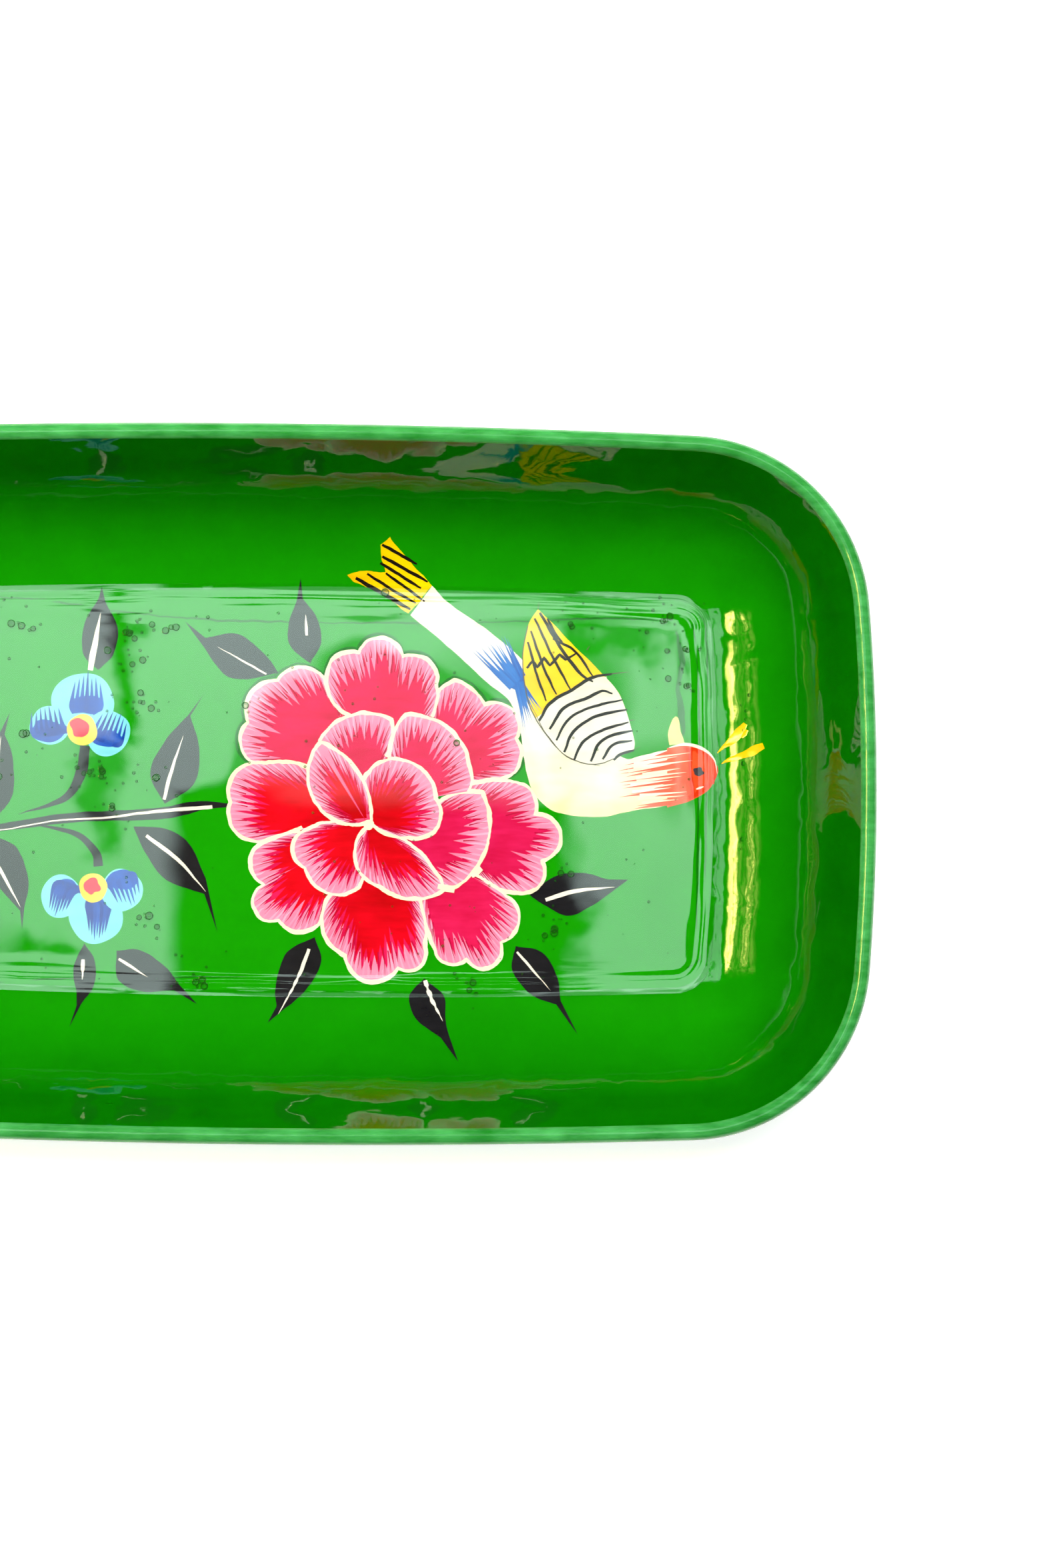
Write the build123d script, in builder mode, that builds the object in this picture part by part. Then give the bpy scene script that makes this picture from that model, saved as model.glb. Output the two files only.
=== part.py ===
from build123d import *
from math import acos, atan2, cos, degrees, hypot, radians, sin, sqrt
import os

# Hand-painted, enamelled sheet-steel tray: a pressed dish with a wired rim, green enamel on
# both faces, two layers of brushwork and a clear coat pooled over the floor.
# Millimetres, +Z up. The origin is the middle of the underside, the long side runs along X.

# Plan of the tray, measured over the rim
length = 280.0
width = 186.0
side_radius = 2800.0  # bow of the long sides
end_radius = 610.0  # bow of the ends
corner_radius = 47.5

# Section of the tray
sheet = 0.8  # pressed steel
coat = 0.15  # each enamel coat
film = 0.05  # each layer of brushwork
wire_radius = 1.25
wire_play = 0.05
cove_radius = 38.15  # inside face of the steel, floor to wall
wall_slope = 66.0  # degrees from level
wall_length = 12.8  # straight part of the wall, up to the rim
curl_angle = 300.0  # how far the sheet is rolled round the wire
clear_depth = 0.6  # clear coat above the enamelled floor
seam = 1.0  # flat margin where the floor meets the cove

bead_radius = wire_radius + wire_play + sheet  # over the rolled steel
rim_radius = bead_radius + coat  # over the enamel
across = (sin(radians(wall_slope)), -cos(radians(wall_slope)))  # through the wall, outwards
along = (cos(radians(wall_slope)), sin(radians(wall_slope)))  # up the wall
cove_to_bead = cove_radius + bead_radius
floor_inset = rim_radius + cove_to_bead * across[0] + wall_length * along[0]
floor_edge = width / 2 - floor_inset
steel_floor = coat + sheet  # level of the steel's inside face
cove_centre = (floor_edge, steel_floor + cove_radius)
bead_centre = (
    cove_centre[0] + cove_to_bead * across[0] + wall_length * along[0],
    cove_centre[1] + cove_to_bead * across[1] + wall_length * along[1],
)
crest_sweep = 90.0 - wall_slope  # the wall's normal is this far above level
cap_angle = 180.0 - crest_sweep  # where the wall meets the bead, seen from the bead's centre

first_coat = -coat  # depths behind the steel's inside face, negative towards the inside
first_film = first_coat - film
second_film = first_film - film
clear_level = steel_floor + coat + clear_depth
print(f"height over the rim {bead_centre[1] + rim_radius:.1f}, floor inset {floor_inset:.1f}")


def corner_centre():
    """Centre of the corner arc that is tangent to the side and to the end."""
    side_y = width / 2 - side_radius
    end_x = length / 2 - end_radius
    to_side = side_radius - corner_radius
    to_end = end_radius - corner_radius
    span = hypot(end_x, side_y)
    run = (to_side**2 - to_end**2 + span**2) / (2 * span)
    rise = sqrt(to_side**2 - run**2)
    ux, uy = end_x / span, -side_y / span
    return run * ux + rise * uy, side_y + run * uy - rise * ux


def tray_outline(inset):
    """Closed outline at a distance inside the rim's outer edge, from the middle of the back side."""
    side_y = width / 2 - side_radius
    end_x = length / 2 - end_radius
    cx, cy = corner
    side_half = degrees(atan2(cx, cy - side_y))
    end_half = degrees(atan2(cy, cx - end_x))
    corner_size = 90 - side_half - end_half
    CenterArc((0, side_y), side_radius - inset, 90, -side_half)
    CenterArc((cx, cy), corner_radius - inset, 90 - side_half, -corner_size)
    CenterArc((end_x, 0), end_radius - inset, end_half, -2 * end_half)
    CenterArc((cx, -cy), corner_radius - inset, -end_half, -corner_size)
    CenterArc((0, -side_y), side_radius - inset, side_half - 90, -2 * side_half)
    CenterArc((-cx, -cy), corner_radius - inset, -90 - side_half, -corner_size)
    CenterArc((-end_x, 0), end_radius - inset, 180 + end_half, -2 * end_half)
    CenterArc((-cx, cy), corner_radius - inset, 180 - end_half, -corner_size)
    CenterArc((0, side_y), side_radius - inset, 90 + side_half, -side_half)


corner = corner_centre()
with BuildLine() as rim_path:
    tray_outline(rim_radius)


def face_points(depth):
    """Flat start, foot of the cove, top of the cove and top of the wall for one face."""
    radius = cove_radius + depth
    foot = (floor_edge, cove_centre[1] - radius)
    cove_top = (cove_centre[0] + radius * across[0], cove_centre[1] + radius * across[1])
    wall_top = (cove_top[0] + wall_length * along[0], cove_top[1] + wall_length * along[1])
    return (floor_edge - seam, foot[1]), foot, cove_top, wall_top


def face_line(depth, curl):
    """One face of a layer: floor, cove, wall and then round the bead."""
    start, foot, cove_top, wall_top = face_points(depth)
    Line(start, foot)
    CenterArc(cove_centre, cove_radius + depth, -90, wall_slope)
    Line(cove_top, wall_top)
    if curl > 0:
        CenterArc(bead_centre, bead_radius - depth, cap_angle, -curl)


def layer_section(inner, outer, curl=0.0, mode=Mode.ADD):
    """Closed section of the layer between two faces."""
    with BuildLine() as section:
        face_line(inner, curl)
        face_line(outer, curl)
        Line(face_points(inner)[0], face_points(outer)[0])
        if curl > 0:
            cap = radians(cap_angle - curl)
            ends = [
                (
                    bead_centre[0] + (bead_radius - depth) * cos(cap),
                    bead_centre[1] + (bead_radius - depth) * sin(cap),
                )
                for depth in (inner, outer)
            ]
        else:
            ends = [face_points(inner)[3], face_points(outer)[3]]
        Line(*ends)
    make_face(section.edges(), mode=mode)


def floor_panel(bottom, top, inset):
    """Flat sheet inside the outline at this inset, between two levels."""
    with BuildLine() as outline:
        tray_outline(inset)
    with BuildSketch(Plane.XY.offset(bottom)) as panel:
        make_face(outline.edges())
    extrude(panel.sketch, amount=top - bottom)


with BuildPart() as tray_shell:
    with BuildSketch(Plane.YZ):
        layer_section(0, sheet, curl_angle)
    sweep(path=rim_path.wire())
    floor_panel(coat, coat + sheet, floor_inset + seam / 2)

with BuildPart() as rim_wire:
    with BuildSketch(Plane.YZ):
        with Locations(bead_centre):
            Circle(wire_radius)
    sweep(path=rim_path.wire())

with BuildPart() as inner_enamel:
    with BuildSketch(Plane.YZ):
        layer_section(-coat, 0, cap_angle - 90)
    sweep(path=rim_path.wire())
    floor_panel(steel_floor, steel_floor + coat, floor_inset + seam / 2)

with BuildPart() as outer_enamel:
    with BuildSketch(Plane.YZ):
        layer_section(sheet, sheet + coat)
        with Locations(bead_centre):
            Circle(rim_radius)
            Circle(bead_radius, mode=Mode.SUBTRACT)
        layer_section(-coat, 0, cap_angle - 90, mode=Mode.SUBTRACT)
        layer_section(0, sheet, mode=Mode.SUBTRACT)
    sweep(path=rim_path.wire())

with BuildPart() as base_enamel:
    floor_panel(0, coat, floor_inset + seam)

with BuildPart() as first_layer:
    with BuildSketch(Plane.YZ):
        layer_section(first_film, first_coat)
    sweep(path=rim_path.wire())
    floor_panel(steel_floor - first_coat, steel_floor - first_film, floor_inset + seam / 2)

with BuildPart() as second_layer:
    with BuildSketch(Plane.YZ):
        layer_section(second_film, first_film)
    sweep(path=rim_path.wire())
    floor_panel(steel_floor - first_film, steel_floor - second_film, floor_inset + seam / 2)

# The clear coat fills the dish from the brushwork up to a level surface.
clear_floor = steel_floor - second_film
clear_cove = cove_radius + second_film
clear_sweep = degrees(acos(1 - (clear_level - clear_floor) / clear_cove))
clear_edge = (floor_edge + clear_cove * sin(radians(clear_sweep)), clear_level)
with BuildPart() as clear_coat:
    with BuildSketch(Plane.YZ):
        with BuildLine() as pool_edge:
            CenterArc(cove_centre, clear_cove, -90, clear_sweep)
            Polyline(clear_edge, (floor_edge - seam, clear_level), (floor_edge - seam, clear_floor))
            Line((floor_edge - seam, clear_floor), (floor_edge, clear_floor))
        make_face(pool_edge.edges())
    sweep(path=rim_path.wire())
    floor_panel(clear_floor, clear_level, floor_inset + seam / 2)


def arc_patch(points, closing=()):
    """Patch bounded by arcs (corner, middle, corner, ...) and closed by straight runs."""
    with BuildLine() as outline:
        for start, middle, end in zip(points[0:-2:2], points[1::2], points[2::2]):
            ThreePointArc(start, middle, end)
        if closing or points[0] != points[-1]:
            Polyline(points[-1], *closing, points[0])
    make_face(outline.edges())


def leaf_patch(upper, lower):
    """Patch between two smooth edges that share their ends."""
    with BuildLine() as outline:
        Spline(*upper)
        Spline(*lower)
    make_face(outline.edges())


def tailed_patch(upper, lower):
    """Patch between two smooth edges that run out in a fine straight tail."""
    with BuildLine() as outline:
        Spline(*upper[:-1])
        Spline(*lower[:-1])
        Polyline(upper[-2], upper[-1], lower[-2])
    make_face(outline.edges())


def stroke(points, width):
    """Round-ended brush line of one width along a smooth path."""
    with BuildLine() as path:
        if len(points) > 2:
            Spline(*points)
        else:
            Line(*points)
    trace(path.edges(), line_width=width)


def brush_film(layer, sketch):
    """Film of paint on the inside of the dish, in one layer, over the area of the sketch."""
    extrude(sketch, amount=bead_centre[1])
    add(layer.part, mode=Mode.INTERSECT)


# Rose petals, lowest first: arcs round the visible edge, then the hidden corners under the heart.
outer_petals = [
    ([(2.6, 20.4), (0, 25.5), (-4, 30), (-9.8, 33), (-16.5, 29.5), (-22.5, 27), (-24.3, 18),
      (-26.3, 12.5), (-23.5, 7.5), (-15, 5.5), (-7.5, 6)], [(3, 8)]),
    ([(25.2, 21), (26.5, 26.5), (31, 30), (36, 27.5), (39.3, 23.3), (46.5, 22.5), (47.8, 14.5),
      (49, 8.5), (45.5, 4), (40.5, 2.5), (35.5, 2.5)], [(28, 8)]),
    ([(-7, 5.5), (-14, 7.5), (-20, 7), (-27.5, 4.5), (-28.6, -3.5), (-28, -10.5), (-21.5, -14),
      (-15, -12.5), (-9.5, -10)], [(-4, -3)]),
    ([(36, 2), (43.5, 3.2), (49.5, 2), (53, -1.5), (53, -6), (60, -11.5), (55, -18.5),
      (54.5, -25), (48.5, -27.2), (42.5, -26), (37, -22.5)], [(30, -8)]),
    ([(-10, -11), (-16, -12.5), (-20.5, -14.5), (-23.2, -19.5), (-19.5, -25.5), (-22.3, -31.5),
      (-15.5, -35), (-8.5, -38), (-3.8, -34.5), (-2.5, -31), (-1.5, -27)], [(-3, -20)]),
    ([(21.8, -27.5), (23.8, -36), (26.5, -43), (30.5, -46.5), (34.8, -45), (41, -47.3),
      (44, -40.5), (48.8, -35), (45.5, -28), (41.5, -25), (37, -22.5)], [(25, -18)]),
    ([(3, 20), (-3.2, 27.5), (-2, 35), (1, 37), (5.2, 37), (11, 41.3), (17, 36), (23, 35.8),
      (26.3, 29), (26.5, 25), (25, 20)], [(12, 12)]),
    ([(-1.5, -28), (-4, -35.5), (2.5, -44.3), (9.5, -51.3), (16.5, -47.5), (22.5, -47),
      (23.7, -42), (23.7, -36), (21.5, -27)], [(10, -20)]),
]
inner_petals = [
    ([(-5, 13), (2, 19.8), (14, 19), (14.5, 14), (13, 9)], [(6.5, 3)]),
    ([(26.5, -3.5), (32, -0.5), (38.8, -0.3), (40.5, -13), (33, -25), (30, -26), (27, -25)],
     [(18, -14)]),
    ([(13.8, 9), (14.8, 15.5), (18, 20.5), (29.5, 17), (35.3, 7), (36, 3), (34.8, 0)],
     [(27, -2), (16, 4)]),
    ([(8, -9.5), (0, -8.3), (-9, -11), (-12, -16), (-8.5, -21), (-1, -28), (6, -26),
      (8, -18), (8, -9.5)], []),
    ([(8.5, -9.5), (4.8, -19), (11.5, -25.8), (19, -29), (29, -26.5), (21.5, -16), (9.5, -9.5)], []),
    ([(9, -8.8), (6.5, 2), (11.5, 7.8), (21, 7), (26.3, -2), (26.5, -10), (19, -12.6),
      (14, -12), (9, -8.8)], []),
    ([(-4.8, 13), (-8, 2), (0, -8.5), (4.5, -9.3), (9, -8.5), (6.5, 3), (-4.8, 13)], []),
]
petal_gap = 0.1  # each side of the edge between two petals
outline_width = 0.9  # cream line round each petal
feather_width = 0.55  # black lines on the bird


def petal_shape(petal):
    """Area of one petal as a sketch of its own."""
    with BuildSketch() as shape:
        arc_patch(*petal)
    return shape.sketch


outer_shapes = [petal_shape(petal) for petal in outer_petals]
inner_shapes = [petal_shape(petal) for petal in inner_petals]


def painted_over(shapes):
    """Each shape trimmed by the later ones, with a fine gap between neighbours."""
    offset(shapes[0], amount=-petal_gap, mode=Mode.ADD)
    for shape in shapes[1:]:
        offset(shape, amount=petal_gap, mode=Mode.SUBTRACT)
        offset(shape, amount=-petal_gap, mode=Mode.ADD)


with BuildPart() as rose_outer_petals:
    with BuildSketch() as pink:
        painted_over(outer_shapes)
        for shape in inner_shapes:
            offset(shape, amount=petal_gap, mode=Mode.SUBTRACT)
    brush_film(first_layer, pink.sketch)

with BuildPart() as rose_inner_petals:
    with BuildSketch() as pink:
        painted_over(inner_shapes)
    brush_film(first_layer, pink.sketch)

with BuildPart() as rose_outlines:
    with BuildSketch() as cream:
        for shape in outer_shapes + inner_shapes:
            offset(shape, amount=outline_width / 2, mode=Mode.ADD)
            offset(shape, amount=-outline_width / 2, mode=Mode.SUBTRACT)
    brush_film(second_layer, cream.sketch)

# Bird, laid across the floor from its forked tail to its head at the end of the dish.
with BuildSketch() as wing_shape:
    leaf_patch(
        [(53.5, 49.5), (58.2, 45), (64, 39), (70.8, 32.4), (76, 26), (79.6, 15), (79.7, 11.8)],
        [(53.5, 49.5), (50.8, 45), (49.4, 36), (51.2, 24), (56.3, 15), (62.2, 9.4), (70, 7.8),
         (79.7, 11.8)],
    )
with BuildSketch() as wing_bar_area:
    with BuildLine() as bar_edge:
        Spline((53, 18), (55, 21.5), (57, 24.2), (62.8, 27.7), (68, 31), (74, 33))
        Polyline((74, 33), (85, 33), (85, 0), (50, 0), (53, 18))
    make_face(bar_edge.edges())
with BuildSketch() as head_shape:
    leaf_patch(
        [(84, 10.6), (89.7, 12.5), (94, 13.3), (98.5, 12), (101.4, 9.2), (102.2, 5.4)],
        [(84, 10.6), (82.5, 3), (84, -3.9), (90, -3.5), (96, -1.5), (100, 1.2), (102.2, 5.4)],
    )

with BuildPart() as bird_tail:
    with BuildSketch() as yellow:
        with BuildLine() as fork:
            Polyline((24.8, 55.4), (18.5, 47.8), (10.2, 53.9), (3.8, 56.2), (1.8, 58), (5.2, 59.1),
                     (12.2, 58.8), (11.2, 62), (10.8, 65.8), (13.3, 67.8), (16, 64.6), (24.8, 55.4))
        make_face(fork.edges())
    brush_film(first_layer, yellow.sketch)

with BuildPart() as bird_body:
    with BuildSketch() as white:
        with BuildLine() as back_and_belly:
            Spline((24.8, 55.4), (29.6, 50.6), (39.7, 43.8), (49, 36), (58, 26), (70, 14), (77, 9.4),
                   (80.5, 9.8), (85, 11))
            Line((85, 11), (85, -4))
            Spline((85, -4), (80, -4.7), (70, -6.6), (59.2, -5.5), (54.2, -2.3), (51.7, 1.8),
                   (49.8, 9.7), (48.8, 17.2), (46, 24.3), (39.8, 29.5), (29.5, 38.8), (18.5, 47.8))
            Line((18.5, 47.8), (24.8, 55.4))
        make_face(back_and_belly.edges())
        add([wing_shape.sketch, head_shape.sketch], mode=Mode.SUBTRACT)
    brush_film(first_layer, white.sketch)

with BuildPart() as bird_wing_yellow:
    with BuildSketch() as yellow:
        add(wing_shape.sketch)
        add(wing_bar_area.sketch, mode=Mode.SUBTRACT)
    brush_film(first_layer, yellow.sketch)

with BuildPart() as bird_wing_white:
    with BuildSketch() as white:
        add(wing_shape.sketch)
        add(wing_bar_area.sketch, mode=Mode.INTERSECT)
    brush_film(first_layer, white.sketch)

with BuildPart() as bird_head:
    brush_film(first_layer, head_shape.sketch)

with BuildPart() as bird_crest:
    with BuildSketch() as yellow:
        arc_patch([(91.2, 20.7), (89.2, 17), (90, 13.4)], [(92.4, 13.9), (92.3, 17)])
    brush_film(first_layer, yellow.sketch)

with BuildPart() as bird_beak:
    with BuildSketch() as yellow:
        leaf_patch([(102.3, 11.5), (105.8, 15.4), (109.2, 19.6)],
                   [(102.3, 11.5), (107.4, 13.6), (110.8, 17), (109.2, 19.6)])
        leaf_patch([(103.6, 8.2), (108, 11.4), (114, 14)],
                   [(103.6, 8.2), (108.6, 8.8), (114, 11), (114, 14)])
    brush_film(first_layer, yellow.sketch)

with BuildPart() as bird_eye:
    with BuildSketch() as black:
        with Locations((97.3, 5.9)):
            Ellipse(1.5, 1.3)
    brush_film(second_layer, black.sketch)

with BuildPart() as bird_rump:
    with BuildSketch() as blue:
        leaf_patch([(48, 29), (43.5, 31), (37.5, 37.5)], [(48, 29), (49, 33), (46, 39), (37.5, 37.5)])
        leaf_patch([(47.2, 30.2), (47.6, 24.5), (51.5, 17.5)], [(47.2, 30.2), (51.2, 26), (55, 20),
                                                               (51.5, 17.5)])
    brush_film(second_layer, blue.sketch)

tail_lines = [
    [(11.2, 65.9), (20.6, 61)], [(11.3, 62.9), (23.6, 56.4)], [(10.8, 61.3), (21.8, 54.7)],
    [(12.3, 58.6), (22.8, 51.2)], [(7.2, 58.3), (20.4, 50.6)], [(4.2, 57.2), (19, 49)],
]
wing_lines = [
    [(54, 48.6), (59.8, 39), (65.4, 31.8), (68.5, 30)], [(52.6, 47), (57.6, 36.6), (62.4, 27.8)],
    [(51.6, 43.6), (55, 34), (58.6, 26.4)], [(50.8, 40.6), (53, 32.6), (55.8, 24.6)],
    [(57.5, 41.5), (63.4, 38.4), (68.4, 31.6)], [(50.6, 33.4), (53.6, 35.2), (57, 33.8), (63.6, 38.2)],
]
bar_lines = [
    [(55, 20.8), (57, 24.2), (62.8, 27.7), (68, 31), (71.4, 32)],
    [(56.8, 17), (60.8, 22.9), (67, 25.6), (71, 27.6), (73.8, 26.8)],
    [(58.6, 14), (62.2, 20), (68.6, 23.2), (76, 25)],
    [(60.8, 10.8), (63.4, 16.6), (69.4, 20.6), (77.2, 22.4)],
    [(63.4, 8.6), (66, 13.8), (71.4, 17), (77.6, 19)],
    [(68, 8.4), (70, 13), (74, 15.6), (79, 16.6)],
    [(71.2, 9), (74, 13), (78.6, 14)],
    [(74.2, 8.8), (76, 10.4), (79.4, 11.2)],
]
with BuildPart() as bird_feather_lines:
    with BuildSketch() as black:
        for line in tail_lines + wing_lines + bar_lines:
            stroke(line, feather_width)
    brush_film(second_layer, black.sketch)

# Leaves: two edges from the stalk or base to the tip, and the vein.
leaves = [
    ([(-64.4, 31.6), (-68.5, 36), (-68.3, 44), (-64.5, 51), (-63.8, 54)],
     [(-64.4, 31.6), (-60.4, 36), (-59.4, 43), (-62.8, 50), (-63.8, 54)], [(-66.6, 31.5), (-64, 47)], 0.9),
    ([(-16.3, 31.4), (-20, 36.4), (-27.5, 41.8), (-36, 40.6), (-41.5, 45)],
     [(-16.3, 31.4), (-25, 29.6), (-31, 31), (-37, 39), (-41.5, 45)], [(-19.5, 31), (-32.6, 38.2)], 0.5),
    ([(-7.8, 34), (-13.3, 38.8), (-13.6, 45), (-11.6, 51), (-10.6, 57)],
     [(-7.8, 34), (-4.9, 40), (-6.4, 47), (-10, 51.4), (-10.6, 57)], [(-8.8, 41.6), (-8.8, 47.2)], 0.7),
    ([(-46.2, -4.2), (-50.2, 4), (-46.5, 12.5), (-40.5, 19.5), (-36.2, 25.3)],
     [(-46.2, -4.2), (-38.4, 1.4), (-37.2, 10.5), (-39.6, 19.5), (-36.2, 25.3)],
     [(-46.4, -3), (-41.5, 14.2)], 0.9),
    ([(-54.5, -10.3), (-46, -10.8), (-39.5, -14.8), (-35, -24), (-31.7, -38.3)],
     [(-54.5, -10.3), (-51, -17.5), (-45.5, -24.4), (-35.4, -28.2), (-31.7, -38.3)],
     [(-51, -12.7), (-42, -19.5), (-35, -27.5)], 0.9),
    ([(-91, -8.5), (-95, 1), (-92.5, 11), (-90, 15), (-87.7, 20)],
     [(-91, -8.5), (-86.6, -2), (-86.8, 8), (-89, 14), (-87.7, 20)], [(-91.4, -4), (-90, 13.5)], 0.8),
    ([(-93.5, -12.5), (-85.5, -16), (-82, -25), (-83, -32), (-83.5, -38)],
     [(-93.5, -12.5), (-93.6, -20), (-89.5, -27), (-84, -33), (-83.5, -38)],
     [(-91, -19.5), (-84, -32)], 0.8),
    ([(-67, -41.4), (-69.7, -48), (-68.8, -54.5), (-68.6, -58), (-70.3, -63.8)],
     [(-67, -41.4), (-64, -46.5), (-64.2, -52.6), (-67.4, -57.6), (-70.3, -63.8)],
     [(-67.2, -45.8), (-67.4, -51.2)], 1.0),
    ([(-58.5, -43.4), (-52, -43.3), (-45.5, -47.6), (-41, -53), (-36.7, -57.6)],
     [(-58.5, -43.4), (-57.8, -51.2), (-51, -54.3), (-43, -53.8), (-36.7, -57.6)],
     [(-57.8, -45.6), (-50, -50.4)], 0.8),
    ([(-5.8, -39.4), (-13.2, -43.6), (-16, -52), (-15.8, -58), (-18, -62.3)],
     [(-5.8, -39.4), (-4, -46), (-8, -53.6), (-14.5, -59.4), (-18, -62.3)],
     [(-7.3, -42.6), (-10, -50), (-15.2, -60)], 0.8),
    ([(23.6, -50.2), (28.8, -55), (29.4, -62), (30.8, -67), (32.6, -72.2)],
     [(23.6, -50.2), (19.6, -55), (21.5, -61.2), (28, -66), (32.6, -72.2)],
     [(23.8, -50.8), (25.6, -55.8), (28.6, -61.6)], 0.9),
    ([(48, -41.4), (55, -43), (59, -49), (60.2, -56), (64.6, -65)],
     [(48, -41.4), (47.2, -48), (52.5, -54.6), (59, -57), (64.6, -65)], [(48.4, -43), (57.4, -53.2)], 0.7),
    ([(51.6, -27.7), (58.5, -22.6), (66, -21.7), (73, -23.4), (78.3, -23.4)],
     [(51.6, -27.7), (56, -30.6), (62.5, -33.3), (70, -29.6), (78.3, -23.4)],
     [(56, -29), (64, -26.6), (74.6, -25.4)], 1.0),
]
with BuildPart() as leaf_films:
    with BuildSketch() as black:
        for upper, lower, vein, vein_width in leaves:
            tailed_patch(upper, lower)
        add(outer_shapes, mode=Mode.SUBTRACT)
    brush_film(first_layer, black.sketch)

with BuildPart() as leaf_veins:
    with BuildSketch() as cream:
        for upper, lower, vein, vein_width in leaves:
            stroke(vein, vein_width)
    brush_film(second_layer, cream.sketch)

# Stems and the two small blue flowers. Each stem: its path and its width.
stem_lines = [
    ([(-30, -4.2), (-48, -6.8), (-70, -8), (-84, -10), (-96, -11.8)], 1.8),
    ([(-69, 10.4), (-70, 3), (-74.5, -3.2), (-81, -6)], 1.8),
    ([(-65, -21.4), (-65.4, -17), (-69, -12.6), (-79.6, -10.6)], 1.6),
]
highlight_width = 0.7
with BuildPart() as stems:
    with BuildSketch() as black:
        for path, width in stem_lines:
            stroke(path, width)
    brush_film(first_layer, black.sketch)

with BuildPart() as stem_highlight:
    with BuildSketch() as cream:
        stroke([(-33.5, -4.8), (-50, -6.4), (-62, -8), (-75, -8.9), (-88, -11.3)], highlight_width)
    brush_film(second_layer, cream.sketch)

# Each flower: middle of the disc, then the ellipses of its petals (x, y, half width, half height).
flowers = [
    ((-68.5, 15.5), 4.0, [(-68.4, 22.8, 8.4, 7.8), (-77, 16.6, 5.4, 5.2), (-61.6, 14.6, 5.9, 6.2)]),
    ((-64.8, -26.8), 3.7, [(-64, -34.8, 7.2, 6.9), (-73.2, -29, 5.4, 5.8), (-57.2, -27.3, 5.6, 5.7)]),
]
brushed_size = 0.55  # blue base, as a share of its petal
brushed_place = 0.85  # its middle, as a share of the way from the disc to the petal's middle
heart_size = 0.6  # red heart, as a share of the yellow disc
heart_shift = (-0.4, 0.5)


def flower_disc(centre, radius, mode=Mode.ADD):
    """Round patch in the middle of a flower."""
    with Locations(centre):
        Circle(radius, mode=mode)


with BuildPart() as flower_petals:
    with BuildSketch() as cyan:
        for centre, radius, petals in flowers:
            for x, y, half_width, half_height in petals:
                with Locations((x, y)):
                    Ellipse(half_width, half_height)
            flower_disc(centre, radius + petal_gap, Mode.SUBTRACT)
    brush_film(first_layer, cyan.sketch)

with BuildPart() as flower_blue_bases:
    with BuildSketch() as blue:
        for centre, radius, petals in flowers:
            for x, y, half_width, half_height in petals:
                base_x = centre[0] + (x - centre[0]) * brushed_place
                base_y = centre[1] + (y - centre[1]) * brushed_place
                with Locations((base_x, base_y)):
                    Ellipse(half_width * brushed_size, half_height * brushed_size)
            flower_disc(centre, radius + petal_gap, Mode.SUBTRACT)
    brush_film(second_layer, blue.sketch)

with BuildPart() as flower_discs:
    with BuildSketch() as yellow:
        for centre, radius, petals in flowers:
            flower_disc(centre, radius)
    brush_film(first_layer, yellow.sketch)

with BuildPart() as flower_hearts:
    with BuildSketch() as red:
        for centre, radius, petals in flowers:
            heart = (centre[0] + heart_shift[0], centre[1] + heart_shift[1])
            flower_disc(heart, radius * heart_size)
    brush_film(second_layer, red.sketch)


nodes = {
    "tray_shell": tray_shell,
    "rim_wire": rim_wire,
    "inner_enamel": inner_enamel,
    "outer_enamel": outer_enamel,
    "base_enamel": base_enamel,
    "clear_coat": clear_coat,
    "rose_outer_petals": rose_outer_petals,
    "rose_inner_petals": rose_inner_petals,
    "rose_outlines": rose_outlines,
    "bird_tail": bird_tail,
    "bird_body": bird_body,
    "bird_wing_yellow": bird_wing_yellow,
    "bird_wing_white": bird_wing_white,
    "bird_head": bird_head,
    "bird_crest": bird_crest,
    "bird_beak": bird_beak,
    "bird_eye": bird_eye,
    "bird_rump": bird_rump,
    "bird_feather_lines": bird_feather_lines,
    "leaves": leaf_films,
    "leaf_veins": leaf_veins,
    "stems": stems,
    "stem_highlight": stem_highlight,
    "flower_petals": flower_petals,
    "flower_blue_bases": flower_blue_bases,
    "flower_discs": flower_discs,
    "flower_hearts": flower_hearts,
}
os.makedirs("parts", exist_ok=True)
for name, node in nodes.items():
    node.part.label = name
    export_step(node.part, f"parts/{name}.step")
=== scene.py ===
import math
import random

import bpy
from mathutils import Matrix, Vector, noise
from mathutils.geometry import delaunay_2d_cdt


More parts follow.
